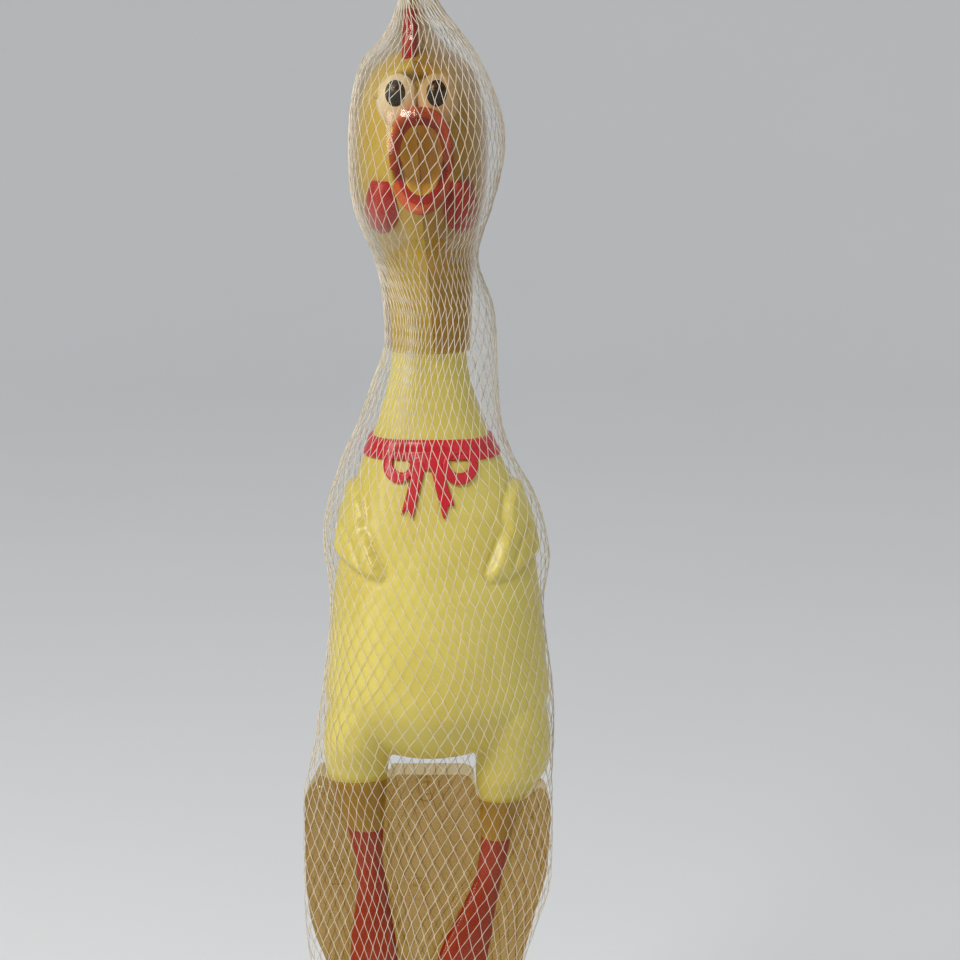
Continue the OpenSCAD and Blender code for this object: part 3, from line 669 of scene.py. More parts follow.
def build_comb():
    """The comb: an upright plate from front to back with rounded edges."""
    points, faces = cutout([closed_curve(COMB, 160)], COMB_THICKNESS, COMB_ROUNDING, 2.0)
    placed = np.stack([COMB_X + points[:, 1], points[:, 0], points[:, 2]], axis=1)
    obj = new_object("comb_soft", placed, faces)
    push_out(obj, ripple(points_mm(obj), 6, 4) * 0.35)
    return obj


# ------------------------------------------------------------------ ribbon

# Each point of the band's section is (raised from the skin, height)
BAND = [(-0.4, 229.0), (0.7, 229.1), (1.15, 229.7), (1.2, 231.8), (1.05, 232.6), (1.3, 233.1), (1.3, 235.5),
        (1.1, 236.2), (0.6, 236.5), (-0.4, 236.6)]
# Each loop is (middle x, middle z, radius x, radius z) of its outside and of its hole
BOW_LOOPS = [[(-12.1, 226.9, 5.6, 5.8), (-10.9, 228.3, 3.3, 3.3)],
             [(11.0, 227.3, 6.6, 6.6), (10.8, 228.3, 4.0, 3.5)]]
# The knot and the two forked tails
BOW_PARTS = [
    [(-8.6, 232.4), (-1.5, 233), (6, 232.8), (6, 229.5), (3.2, 226.8), (-1.2, 225.9), (-5.6, 226.6),
     (-8.6, 229.4)],
    [(-1.3, 231), (-6.2, 230.5), (-7.2, 225), (-8.7, 218.5), (-10.8, 210), (-8.6, 212), (-6.8, 208.6),
     (-4.6, 216.5), (-2.6, 225)],
    [(-0.5, 230.5), (3.5, 230.5), (5.2, 224), (7.1, 218.5), (8.7, 213.6), (6.6, 213), (5.0, 208.6),
     (2.8, 216), (0.8, 224)]]
BOW_THICKNESS, BOW_ROUNDING = 1.8, 0.6


def oval(x, z, radius_x, radius_z, count=44):
    turn = full_turn(count)
    return np.stack([x + radius_x * np.cos(turn), z + radius_z * np.sin(turn)], axis=1)


def build_ribbon(skin_tree):
    """The band round the neck and the bow below it, raised from the skin."""
    count, rows = 160, []
    for lift, z in BAND:
        cx, cy, half_w, half_d = (float(v) for v in section_at(TRUNK, z))
        ring = []
        for a in full_turn(count):
            way = Vector((math.cos(a) * half_w, math.sin(a) * half_d, 0)).normalized()
            start = row((cx, cy, z)) + way * 0.08
            hit = skin_tree.ray_cast(start, -way)[0]
            reach = (hit - row((cx, cy, z))).length / MM if hit else half_w
            ring.append((cx + way.x * (reach + lift), cy + way.y * (reach + lift),
                         z + 0.25 * math.sin(3 * a)))
        rows.append(ring)
    parts = [(np.vstack(rows), grid_faces(len(rows), count, True).tolist())]
    shapes = [[closed_curve(part, 90)] for part in BOW_PARTS]
    shapes += [[oval(*ring) for ring in loop] for loop in BOW_LOOPS]
    for k, shape in enumerate(shapes):
        points, faces = cutout(shape, BOW_THICKNESS, BOW_ROUNDING, 1.6)
        front = np.array([front_of(skin_tree, u, v) for u, v in zip(points[:, 0], points[:, 2])])
        lift = 0.5 + 0.12 * k
        placed = np.stack([points[:, 0], front - lift + points[:, 1], points[:, 2]], axis=1)
        parts.append((placed, faces))
    return new_object("neck_ribbon_soft", *joined(parts))


# ------------------------------------------------------------------ amber shells

HEAD_SHELL = [
    (268, -0.8, 0, 15.6, 16.4), (290, -1, 0, 16.6, 17.6), (304, -2, -1.5, 18.2, 21),
    (315, -3, -9.5, 20.6, 33.5), (323, -3.7, -11.3, 23.4, 36.6), (330, -3.9, -11.5, 24.6, 37.8),
    (348, -3.8, -11.8, 25, 38.6), (362, -4.2, -9.5, 23.4, 37.2), (373, -4.6, -1.5, 20, 28),
    (381, -5.4, 3, 11, 21.5), (388, -6.4, 3.6, 6.6, 19.6), (394, -6.9, 4, 4.7, 16),
    (398, -7, 4, 3.4, 11.5), (399.2, -7, 4, 1.8, 8)]
SEAM_X, SEAM_Z = -2.4, 330.0
SEAM_NORMAL = Vector((1, 0, math.tan(math.radians(3.8)))).normalized()
SEAM_FIN, SEAM_GAP = 1.9, 0.06      # how far the fin stands out, and half of the gap between the halves
FILM = 0.45
SHELL_CLEARANCE = 1.1


def clear_of(obj, trees, gap):
    """Pushes an object's points out along their normals until they stand `gap` off every surface."""
    far = 7.0
    push = np.zeros(len(obj.data.vertices))
    for k, (point, way) in enumerate(zip(points_mm(obj), normals(obj))):
        for tree in trees:
            hit = tree.ray_cast(row(point + way * far), Vector(-way), (far + gap) * MM)
            if hit[0]:
                push[k] = max(push[k], far + gap - hit[3] / MM)
    push_out(obj, push)


def build_head_shell(side, trees):
    """One half of the film over the head, with a fin along its seam."""
    points, faces = loft(HEAD_SHELL, 128, 1.6)
    lower_end = len(points) - 2
    obj = new_object(f"head_shell_{side}_film", points, [f for f in faces if lower_end not in f])
    placed = points_mm(obj)
    push_out(obj, ripple(placed, 17, 5) * 0.5 * smoothstep(0, -20, placed[:, 1]))
    clear_of(obj, trees, SHELL_CLEARANCE)
    modified(obj, smooth={"factor": 0.5, "iterations": 3})
    sign = -1 if side == "left" else 1
    mesh = edited(obj)
    middle = row((SEAM_X, 0, SEAM_Z)) + SEAM_NORMAL * sign * SEAM_GAP * MM
    slice_plane(mesh, middle, SEAM_NORMAL * -sign, FINE, clear_outer=True)
    mesh.normal_update()
    seam = [e for e in mesh.edges if e.is_boundary
            and all(abs((v.co - middle).dot(SEAM_NORMAL)) < COARSE for v in e.verts)]

    def spot(vertex):
        return tuple(round(c, 7) for c in vertex.co)

    outward = {}
    for edge in seam:
        for v in edge.verts:
            outward[spot(v)] = (v.normal - SEAM_NORMAL * v.normal.dot(SEAM_NORMAL)).normalized()
    for made in bmesh.ops.extrude_edge_only(mesh, edges=seam)["geom"]:
        if isinstance(made, bmesh.types.BMVert):
            made.co += outward[spot(made)] * SEAM_FIN * MM
    mesh.to_mesh(obj.data)
    mesh.free()
    smooth_shaded(obj.data)
    return modified(obj, solidify={"thickness": FILM * MM, "offset": -1.0})


PANEL_FRONT_TOP, PANEL_REAR_TOP = 103.9, 108.4
PANEL = [(-49.2, 96), (-49, 62), (-47.6, 48), (-44.9, 38), (-41.3, 30), (-36, 0), (27, 0), (36.6, 38),
         (44, 65), (45.3, 85), (45.4, 93)]
PANEL_ROUNDING, LEG_GAP = 4.5, 1.3
LEFT_LET_GO, RIGHT_LET_GO = 105.0, 96.0      # height to which the sheets are cut away round each leg
STUDS = [(-41, 94.6), (-2.7, 98.4), (-37.2, 65), (36.9, 84.7), (-6, 58), (-38, 26), (29.5, 44)]
# Each leg as it leaves the sheets: the leg's upper sections and the thigh's lower ones
LEFT_OUT = LEFT_LEG[-3:-1] + LEFT_THIGH[1:4]
RIGHT_OUT = RIGHT_LEG[-3:-1] + RIGHT_THIGH[1:4]


def rounded(outline, radius, count=7):
    """A closed outline with its corners rounded."""
    outline = [Vector(p) for p in outline]
    out = []
    for i, corner in enumerate(outline):
        before, after = outline[i - 1], outline[(i + 1) % len(outline)]
        reach = min(radius, (before - corner).length * 0.45, (after - corner).length * 0.45)
        a, b = corner + (before - corner).normalized() * reach, corner + (after - corner).normalized() * reach
        for t in np.linspace(0, 1, count):
            out.append(tuple(a * (1 - t) ** 2 + corner * (2 * t * (1 - t)) + b * t ** 2))
    return out


def panel_outline(top):
    """The foot shell's sheet, with its top edge cut away where the legs come out."""
    def gap(keys, z, side):
        cx, _, half, _ = (float(v) for v in section_at(keys, z))
        return cx + side * (half + LEG_GAP)

    edge = [(-43, top)]
    for keys, low in ((LEFT_OUT, LEFT_LET_GO), (RIGHT_OUT, RIGHT_LET_GO)):
        edge += [(gap(keys, top, -1), top), (gap(keys, low, -1), low), (gap(keys, low, 1), low),
                 (gap(keys, top, 1), top)]
    edge[-1] = (42.4, top - 4.4)
    return rounded(edge + PANEL[::-1], PANEL_ROUNDING)


RELIEF_STEP = 1.0
RELIEF_X, RELIEF_Z = np.arange(-54, 52, RELIEF_STEP), np.arange(-6, 112, RELIEF_STEP)
SHEET_CLEARANCE = 0.9
STUD_FRONT, STUD_REAR, STUD_DIMPLE, STUD_BEAD = 2.9, 2.1, 1.1, 0.8


def spread(grid, passes, mix):
    """Each cell joined with its four neighbours, over and over."""
    for _ in range(passes):
        edge = np.pad(grid, 1, mode="edge")
        grid = mix([grid, edge[:-2, 1:-1], edge[2:, 1:-1], edge[1:-1, :-2], edge[1:-1, 2:]], axis=0)
    return grid


def held_relief(tree, front):
    """How far one sheet of the foot shell stands off its flat to clear the legs and feet, on a grid."""
    side = -1 if front else 1
    grid = np.zeros((len(RELIEF_Z), len(RELIEF_X)))
    for k, z in enumerate(RELIEF_Z):
        for i, x in enumerate(RELIEF_X):
            hit = tree.ray_cast(row((x, side * 60, z)), Vector((0, -side, 0)))[0]
            if hit:
                grid[k, i] = max(side * hit.y / MM + SHEET_CLEARANCE, 0)
    return spread(spread(grid, 2, np.max), 3, np.mean)


def relief_at(grid, x, z):
    """The relief between the grid's cells."""
    i = np.clip((x - RELIEF_X[0]) / RELIEF_STEP, 0, len(RELIEF_X) - 1.001)
    k = np.clip((z - RELIEF_Z[0]) / RELIEF_STEP, 0, len(RELIEF_Z) - 1.001)
    i0, k0 = i.astype(int), k.astype(int)
    u, v = i - i0, k - k0
    return ((grid[k0, i0] * (1 - u) + grid[k0, i0 + 1] * u) * (1 - v)
            + (grid[k0 + 1, i0] * (1 - u) + grid[k0 + 1, i0 + 1] * u) * v)


def build_foot_shell(front, tree):
    """One sheet of the foot shell, formed round the legs, feet and studs."""
    outline = panel_outline(PANEL_FRONT_TOP if front else PANEL_REAR_TOP)
    points, faces = cutout([outline], 0.02, 0.0, 0.7)
    keep = points[:, 1] > 0
    renumber = -np.ones(len(points), int)
    renumber[keep] = np.arange(keep.sum())
    faces = [[renumber[v] for v in f] for f in faces if all(keep[v] for v in f)]
    x, z = points[keep, 0], points[keep, 2]
    relief = relief_at(held_relief(tree, front), x, z)
    for stud_x, stud_z in STUDS:
        r = np.hypot(x - stud_x, z - stud_z)
        height = STUD_FRONT if front else STUD_REAR
        top = height * (1 - smoothstep(2.8, 3.8, r)) - STUD_DIMPLE * (1 - smoothstep(0.8, 2.0, r))
        bead = STUD_BEAD * np.exp(-((r - 4.9) / 0.6) ** 2)
        relief = np.maximum(relief, np.maximum(top, bead))
    still = 1 - smoothstep(0, 1.5, relief)
    ends = np.stack([x, np.zeros_like(x), z], axis=1)
    relief += ripple(ends, 30, 6) * 0.35 * still
    side = -1 if front else 1
    placed = np.stack([x, side * (0.15 + relief), z], axis=1)
    name = "foot_shell_front_film" if front else "foot_shell_rear_film"
    obj = new_object(name, placed, faces if front else [f[::-1] for f in faces])
    return modified(obj, solidify={"thickness": FILM * MM, "offset": 1.0})


# ------------------------------------------------------------------ net bag

NET_TOP, NET_BASE = CLIP_Z + 2.0, -14.0
STRANDS = 98
THREAD = 0.125       # radius
MESH_SIDE = 5.4
KNOT = 0.55          # half height of a knot
KNOT_PULL = 0.13     # share of half a mesh by which two strands stand short of meeting
# Loose shape of the bag where nothing holds it out: (height, left edge, right edge, front, back)
BAG = [
    (-15, -7, -1, -3, 3), (-8, -21, 11, -9, 9), (1, -38, 24, -15, 12), (20, -45, 31, -17, 11),
    (40, -49, 38.5, -17.5, 12), (60, -50, 45.5, -17.5, 14), (88, -50, 46.5, -19, 18),
    (100, -49.5, 46.2, -24, 23), (111, -46.2, 46.3, -29, 29), (122, -44.6, 46.8, -34, 36),
    (141, -41.5, 46, -37, 39), (171, -38.5, 42, -37, 38), (188, -40.3, 45.2, -35.5, 36),
    (198, -41.5, 43.6, -33.5, 34), (212, -38.9, 39.8, -30.5, 30), (231, -32.5, 29.5, -27, 24),
    (243, -26.4, 26, -25, 20), (257, -22.3, 25, -24, 19), (269, -16.6, 24.5, -23.5, 18.8),
    (284, -15.8, 23.7, -24, 19), (295, -15.9, 19.1, -26, 20), (304, -16.8, 16.2, -30, 22),
    (312, -20, 19, -38, 25), (325, -25.2, 23.2, -48, 28.5), (334.5, -27.6, 25.8, -50.5, 30),
    (346, -29.4, 27.4, -52, 31), (355, -28.6, 26.5, -51, 31), (367, -25.4, 22, -45, 30),
    (378, -21.5, 17, -34, 29), (388, -12.2, 8.7, -21, 24), (397, -8.4, 1.8, -10, 14), (404, -7, -1, -5, 8),
    (409, -7, -1, -3.4, 4), (414, -7, -1, -3, 3)]
DIRECTIONS = 90
LEVEL_STEP = 2.0


def support_of(points, levels):
    """How far the points reach in each direction, level by level."""
    turn = full_turn(DIRECTIONS)
    ways = np.stack([np.cos(turn), np.sin(turn)])
    reach = np.full((len(levels), DIRECTIONS), -1e3)
    index = np.round((points[:, 2] - levels[0]) / LEVEL_STEP).astype(int)
    for k in range(len(levels)):
        near = points[np.abs(index - k) <= 1]
        if len(near):
            reach[k] = (near[:, :2] @ ways).max(axis=0)
    return reach


def bag_support(levels):
    """The loose bag's own reach in each direction, from its four edges."""
    table = dense(BAG, 1.5)
    left, right, front, back = (np.interp(levels, table[:, 0], table[:, k]) for k in range(1, 5))
    turn = full_turn(DIRECTIONS)
    cx, cy = (left + right) / 2, (front + back) / 2
    a, b = (right - left) / 2, (back - front) / 2
    return (cx[:, None] * np.cos(turn) + cy[:, None] * np.sin(turn)
            + np.sqrt((a[:, None] * np.cos(turn)) ** 2 + (b[:, None] * np.sin(turn)) ** 2))


def level_outline(reach):
    """The convex outline with that reach, at equal steps of arc from the back."""
    n = len(reach)
    step = 2 * np.pi / n
    turn = np.arange(n) * step
    slope = (np.roll(reach, -1) - np.roll(reach, 1)) / (2 * step)
    x = reach * np.cos(turn) - slope * np.sin(turn)
    y = reach * np.sin(turn) + slope * np.cos(turn)
    x, y = np.roll(x, -n // 4), np.roll(y, -n // 4)
    x, y = np.append(x, x[0]), np.append(y, y[0])
    run = np.concatenate([[0], np.cumsum(np.hypot(np.diff(x), np.diff(y)))])
    return run, x, y
def unit(vectors):
    """The vectors at length 1."""
    return vectors / np.linalg.norm(vectors, axis=-1, keepdims=True)
def build_net(inner):
    """The knitted bag as crossing threads, in pieces cut at the heights where the figure bends."""
    levels = np.arange(NET_BASE, NET_TOP + LEVEL_STEP, LEVEL_STEP)
    held = support_of(inner, levels) + 0.45
    reach = np.maximum(bag_support(levels), held)
    for _ in range(8):
        soft = reach.copy()
        soft[1:-1] = (reach[:-2] + 2 * reach[1:-1] + reach[2:]) / 4
        soft = (np.roll(soft, 1, axis=1) + 2 * soft + np.roll(soft, -1, axis=1)) / 4
        reach = np.maximum(soft, held)
    outlines = [level_outline(r) for r in reach]
    lengths = np.array([run[-1] for run, _, _ in outlines])
    rows, z = [], NET_TOP
    while z > NET_BASE:
        rows.append(z)
        half = float(np.interp(z, levels, lengths)) / STRANDS
        z -= math.sqrt(max(MESH_SIDE ** 2 - half ** 2, 4))
    rows = np.array(rows)
    rng = np.random.default_rng(7)
    strands = np.arange(STRANDS)
    points = np.zeros((STRANDS, 2 * len(rows), 3))
    for k, z in enumerate(rows):
        crowd = 0.42 * math.exp(-((z - 272) / 32) ** 2) + float(np.interp(z, [285, 320], [0.1, -0.06]))
        drift = 0.014 * math.sin(z / 47) + 0.004 * math.sin(z / 19 + 1)
        side = 0.5 * (-1.0) ** (strands + k)
        u = (strands + side * (1 - KNOT_PULL)) / STRANDS + drift
        u = (u + 0.012 * np.sin(2 * np.pi * u * 3 + z / 31)
             + crowd / (2 * np.pi) * np.sin(2 * np.pi * (u - 0.93))) % 1
        for end, dz in ((0, KNOT), (1, -KNOT)):
            at = min(max(z + dz, levels[0]), levels[-1] - 0.01)
            i = int((at - levels[0]) / LEVEL_STEP)
            f = (at - levels[i]) / LEVEL_STEP
            place = []
            for j in (i, min(i + 1, len(levels) - 1)):
                run, x, y = outlines[j]
                along = u * run[-1]
                place.append(np.stack([np.interp(along, run, x), np.interp(along, run, y)], axis=1))
            points[:, 2 * k + end, :2] = place[0] * (1 - f) + place[1] * f
            points[:, 2 * k + end, 2] = at
    points[:, :, :2] += rng.normal(0, 0.07, points[:, :, :2].shape)
    wander = rng.normal(0, 0.22, (STRANDS // 2 + 1, len(rows)))
    for k in range(len(rows)):
        knot = (strands + (k % 2)) // 2 % (STRANDS // 2)
        points[:, 2 * k:2 * k + 2, 2] += wander[knot, k][:, None]
    bag = np.array(BAG, float)
    middle = np.stack([np.interp(points[:, :, 2], bag[:, 0], (bag[:, a] + bag[:, a + 1]) / 2)
                       for a in (1, 3)], axis=-1)
    out = np.zeros_like(points)
    out[:, :, :2] = points[:, :, :2] - middle
    out = unit(out)
    across = unit(np.cross(unit(np.gradient(points, axis=1)), out))
    ring = np.stack([points + THREAD * (math.cos(a) * out + math.sin(a) * across)
                     for a in np.radians([0, 90, 180, 270])], axis=2)

    def piece(name, low, high):
        """Rows between two heights. The ring that two pieces meet at is in both."""
        first = int(np.searchsorted(-rows, -high)) if high < NET_TOP else 0
        last = int(np.searchsorted(-rows, -low)) if low > NET_BASE else len(rows)
        part = ring[:, 2 * first:2 * last + 1]
        count = part.shape[1]
        shift = (np.arange(STRANDS) * count * 4)[:, None, None]
        faces = grid_faces(count, 4, True)[None] + shift
        return new_object(name, part.reshape(-1, 3), faces.reshape(-1, 4))

    ends = [("net_head_threads", NECK_TOP_Z, NET_TOP), ("net_neck_upper", NECK_MID_Z, NECK_TOP_Z),
            ("net_neck_lower", NECK_LOW_Z, NECK_MID_Z), ("net_torso_threads", HIP_Z, NECK_LOW_Z),
            ("net_thigh_threads", DRUM_Z, HIP_Z), ("net_feet_threads", NET_BASE, DRUM_Z)]
    return {name: piece(name, low, high) for name, low, high in ends}


# ------------------------------------------------------------------ clips, loop, tail


def along_frames(path):
    """Unit tangents and two steady cross directions along a path of points."""
    tangent = unit(np.gradient(path, axis=0))
    side = np.cross(tangent[0], (0, 1, 0))
    if np.linalg.norm(side) < 0.1:
        side = np.cross(tangent[0], (1, 0, 0))
    sides = []
    for t in tangent:
        side = side - t * (side @ t)
        side = side / np.linalg.norm(side)
        sides.append(side)
    sides = np.array(sides)
    return tangent, sides, np.cross(tangent, sides)


def tube(path, radius, count=6):
    """Points and faces of a closed tube along a path."""
    path = np.asarray(path, float)
    _, side, other = along_frames(path)
    turn = full_turn(count)
    ring = (path[:, None] + radius * (np.cos(turn)[None, :, None] * side[:, None]
                                      + np.sin(turn)[None, :, None] * other[:, None]))
    faces = grid_faces(len(path), count, True).tolist()
    last = (len(path) - 1) * count
    faces += [list(range(count))[::-1], list(range(last, last + count))]
    return ring.reshape(-1, 3), faces


def twisted(path, radii, strands, turns, thread, seed):
    """A twisted bundle of threads that fills `radii` round a path."""
    path = np.asarray(path, float)
    _, side, other = along_frames(path)
    run = np.linspace(0, 1, len(path))
    rng = np.random.default_rng(seed)
    parts = []
    for k in range(strands):
        deep = 0.42 if k % 3 == 0 else 0.86
        start = 2 * math.pi * k / strands + rng.uniform(-0.2, 0.2)
        turn = start + 2 * math.pi * turns * run
        sway = 0.1 * np.sin(run * 19 + rng.uniform(0, 6))
        reach = (np.asarray(radii) - thread) * (deep + sway * 0.5)
        line = path + reach[:, None] * (np.cos(turn)[:, None] * side + np.sin(turn)[:, None] * other)
        parts.append(tube(line, thread))
    return parts

GATHER_X = -4.0
LOOP_MID_Z = height_mm(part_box("net_hang_loop")[1][2]) - 10
LOOP_RADIUS = 8.0
LOOP_POINTS = 80
WRAP_TURNS, WRAP_RADIUS, WRAP_X = 7, 2.9, 1.2
YARN = 0.42          # radius of the wrap's thread and of each loose end


def build_loop():
    """The gathered net above the clip, twisted up and turned back into a loop."""
    foot_z = LOOP_MID_Z - LOOP_RADIUS
    stem = smooth_path([(GATHER_X, 0, CLIP_Z - 4), (GATHER_X, 0, CLIP_Z + 7), (-1.5, 0, CLIP_Z + 24),
                        (1.6, 0, CLIP_Z + 42), (1.8, 0, CLIP_Z + 54), (0.3, 0, foot_z)], 90)
    stem_radii = np.interp(stem[:, 2], [CLIP_Z, CLIP_Z + 7, CLIP_Z + 16], [3.5, 3.1, 2.3])
    turn = np.linspace(-math.pi / 2, 1.5 * math.pi, LOOP_POINTS)
    loop = np.stack([LOOP_RADIUS * np.cos(turn), np.zeros(LOOP_POINTS),
                     LOOP_MID_Z + LOOP_RADIUS * np.sin(turn)], axis=1)
    parts = twisted(stem, stem_radii, 22, 2.2, 0.55, 11)
    parts += twisted(loop, np.full(LOOP_POINTS, 2.1), 12, 2.0, 0.5, 12)
    turn = np.linspace(0, 2 * math.pi * WRAP_TURNS, 150)
    wrap = np.stack([WRAP_X + WRAP_RADIUS * np.cos(turn), WRAP_RADIUS * np.sin(turn),
                     np.linspace(foot_z - 9, foot_z - 3, 150)], axis=1)
    parts.append(tube(wrap, YARN))
    return new_object("net_loop_bundle", *joined(parts))


def build_tail():
    """The net's ends below the lower clip, flaring where they were cut."""
    low = height_mm(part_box("net_tail_bottom")[0][2])
    rng = np.random.default_rng(21)
    parts = []
    for k in range(40):
        deep = math.sqrt(rng.uniform(0.02, 1))
        a = rng.uniform(0, 2 * math.pi)
        end = low + rng.uniform(0.2, 4.5)
        heights = np.linspace(-12.5, end, 22)
        reach = np.interp(heights, [low, low + 6, -22, -19, -12], [6.2, 5.0, 3.3, 3.0, 3.3]) - 0.45
        turn = a + (heights + 12) * 0.03
        path = np.stack([GATHER_X + deep * reach * np.cos(turn) + 0.2 * np.sin(heights * 0.8 + k),
                         deep * reach * np.sin(turn), heights], axis=1)
        parts.append(tube(path, YARN))
    return new_object("net_tail_threads", *joined(parts))


# Section of a clip: (height above its lower edge, radius), round the outside and back inside
CLIP = [(0, 4.0), (0.25, 4.35), (0.6, 4.45), (2.2, 4.45), (2.6, 4.75), (3.0, 4.85), (3.9, 4.85), (4.4, 4.75),
        (4.8, 4.45), (6.4, 4.45), (6.75, 4.35), (7.0, 4.0), (6.9, 3.75), (0.1, 3.75)]
CRIMP = 0.32


def build_clip(name, low):
    """A crimped metal ferrule."""
    count, rows = 96, []
    turn = full_turn(count)
    for z, r in CLIP:
        crimp = CRIMP * np.maximum(0, np.cos(6 * turn)) ** 3 * math.exp(-((z - 1.4) / 0.8) ** 2)
        crimp += CRIMP * np.maximum(0, np.cos(6 * turn + 1)) ** 3 * math.exp(-((z - 5.6) / 0.8) ** 2)
        reach = r - crimp * (r > 4)
        rows.append(np.stack([GATHER_X + reach * np.cos(turn), reach * np.sin(turn),
                              np.full(count, low + z)], axis=1))
    faces = grid_faces(len(rows) + 1, count, True) % (len(rows) * count)
    return new_object(name, np.vstack(rows), faces)


# ------------------------------------------------------------------ materials


class Look:
    """A procedural material: one Principled shader and what feeds it. Textures run in millimetres."""

    def __init__(self, name, **sockets):
        self.material = bpy.data.materials.new(name)
        self.material.use_nodes = True
        self.tree = self.material.node_tree
        self.shader = self.tree.nodes["Principled BSDF"]
        self.output = self.tree.nodes["Material Output"]
        for socket, value in sockets.items():
            self.shader.inputs[socket.replace("_", " ")].default_value = value
        place = self.node("ShaderNodeTexCoord")
        scale = self.node("ShaderNodeMapping")
        scale.inputs["Scale"].default_value = (1 / MM,) * 3
        self.link(place.outputs["Object"], scale.inputs["Vector"])
        self.place = scale.outputs["Vector"]

    def node(self, kind, **settings):
        made = self.tree.nodes.new(kind)
        for name, value in settings.items():
            setattr(made, name, value)
        return made

    def link(self, a, b):
        self.tree.links.new(a, b)

    def noise(self, size, detail=3.0, stretch=(1, 1, 1)):
        """A noise value about 0 to 1 with features `size` millimetres across."""
        mapping = self.node("ShaderNodeMapping")
        mapping.inputs["Scale"].default_value = tuple(1 / (size * s) for s in stretch)
        self.link(self.place, mapping.inputs["Vector"])
        made = self.node("ShaderNodeTexNoise")
        made.inputs["Scale"].default_value = 1.0
        made.inputs["Detail"].default_value = detail
        self.link(mapping.outputs["Vector"], made.inputs["Vector"])
        return made.outputs["Fac"]

    def math(self, operation, a, b=0.0, clamp=False):
        made = self.node("ShaderNodeMath", operation=operation, use_clamp=clamp)
        for socket, value in zip(made.inputs, (a, b)):
            if isinstance(value, bpy.types.NodeSocket):
                self.link(value, socket)
            else:
                socket.default_value = value
        return made.outputs[0]

    def range(self, value, low, high, to_low=0.0, to_high=1.0):
        made = self.node("ShaderNodeMapRange")
        made.interpolation_type = "SMOOTHSTEP"
        self.link(value, made.inputs["Value"])
        for name, number in (("From Min", low), ("From Max", high), ("To Min", to_low), ("To Max", to_high)):
            made.inputs[name].default_value = number
        return made.outputs["Result"]

    def mix(self, factor, a, b):
        made = self.node("ShaderNodeMix", data_type="RGBA")
        self.link(factor, made.inputs["Factor"])
        for socket, value in ((made.inputs[6], a), (made.inputs[7], b)):
            if isinstance(value, bpy.types.NodeSocket):
                self.link(value, socket)
            else:
                socket.default_value = (*value, 1)
        return made.outputs[2]

    def axis(self, index):
        made = self.node("ShaderNodeSeparateXYZ")
        self.link(self.place, made.inputs[0])
        return made.outputs[index]

    def bump(self, heights):
        """Bumps from (value, height in millimetres) pairs."""
        last = None
        for value, height in heights:
            made = self.node("ShaderNodeBump")
            made.inputs["Strength"].default_value = 1.0
            made.inputs["Distance"].default_value = height * MM
            self.link(value, made.inputs["Height"])
            if last is not None:
                self.link(last, made.inputs["Normal"])
            last = made.outputs["Normal"]
        return last

    def colour(self, value):
        self.link(value, self.shader.inputs["Base Color"])

    def mottle(self, size, detail, base, deep, low=0.35):
        """A base colour that drifts into a deeper one."""
        self.colour(self.mix(self.range(self.noise(size, detail), low, 0.7), base, deep))

    def uneven(self, size, low, high, stretch=(1, 1, 1)):
        """Roughness that drifts between two values."""
        rough = self.range(self.noise(size, 3, stretch), 0.3, 0.7, low, high)
        self.link(rough, self.shader.inputs["Roughness"])

    def dimpled(self, *heights):
        self.link(self.bump(heights), self.shader.inputs["Normal"])

    def length(self, a, b):
        """The square root of a squared plus b squared."""
        return self.math("SQRT", self.math("ADD", self.math("POWER", a, 2.0), self.math("POWER", b, 2.0)))


def from_srgb(r, g, b):
    return tuple(((c / 255 + 0.055) / 1.055) ** 2.4 if c > 10 else c / 255 / 12.92 for c in (r, g, b))


def paint(name, base, deep, worn, roughness, grain=0.05):
    """Soft vinyl or paint on it: mottled, with fine grain and shallow dimples."""
    look = Look(name, Roughness=roughness)
    broad = look.range(look.noise(34, 3), 0.35, 0.68)
    specks = look.range(look.noise(1.6, 2), 0.63, 0.74)
    tone = look.mix(broad, base, deep)
    look.colour(look.mix(look.math("MULTIPLY", specks, 0.35), tone, worn))
    look.uneven(6, roughness - 0.07, roughness + 0.09)
    look.dimpled((look.noise(0.55, 2), grain), (look.noise(4.5, 2), 0.12))
    return look


# Base, deeper and worn colour, roughness, and depth of the grain
PAINTS = {
    "yellow_vinyl": ((207, 191, 92), (197, 179, 80), (218, 205, 138), 0.38, 0.05),
    "orange_red_vinyl": ((196, 66, 36), (182, 55, 31), (208, 92, 58), 0.38, 0.05),
    "crimson_vinyl": ((186, 26, 38), (170, 20, 32), (205, 60, 66), 0.36, 0.05),
    "beak_orange_vinyl": ((208, 98, 50), (196, 84, 42), (216, 126, 80), 0.34, 0.05),
    "cream_paint": ((242, 238, 222), (236, 230, 208), (246, 244, 232), 0.28, 0.02),
    "ribbon_red": ((196, 22, 38), (180, 16, 32), (214, 52, 60), 0.22, 0.03),
    # The mouth's inside is the figure's own yellow vinyl, painted lighter and yellower here: painted light in
    # the shaded hollow behind the beak
    "mouth_painted_light": ((238, 214, 98), (226, 198, 82), (242, 222, 124), 0.5, 0.05)}


def painted(name):
    *colours, roughness, grain = PAINTS[name]
    return paint(name, *(from_srgb(*colour) for colour in colours), roughness, grain)


def make_vinyl():
    """The figure's bare yellow vinyl, which light enters a little."""
    look = painted("yellow_vinyl")
    look.shader.inputs["Subsurface Weight"].default_value = 0.12
    look.shader.inputs["Subsurface Radius"].default_value = (1.0, 0.7, 0.25)
    look.shader.inputs["Subsurface Scale"].default_value = 0.004
    look.shader.inputs["Coat Weight"].default_value = 0.12
    look.shader.inputs["Coat Roughness"].default_value = 0.25
    return look.material


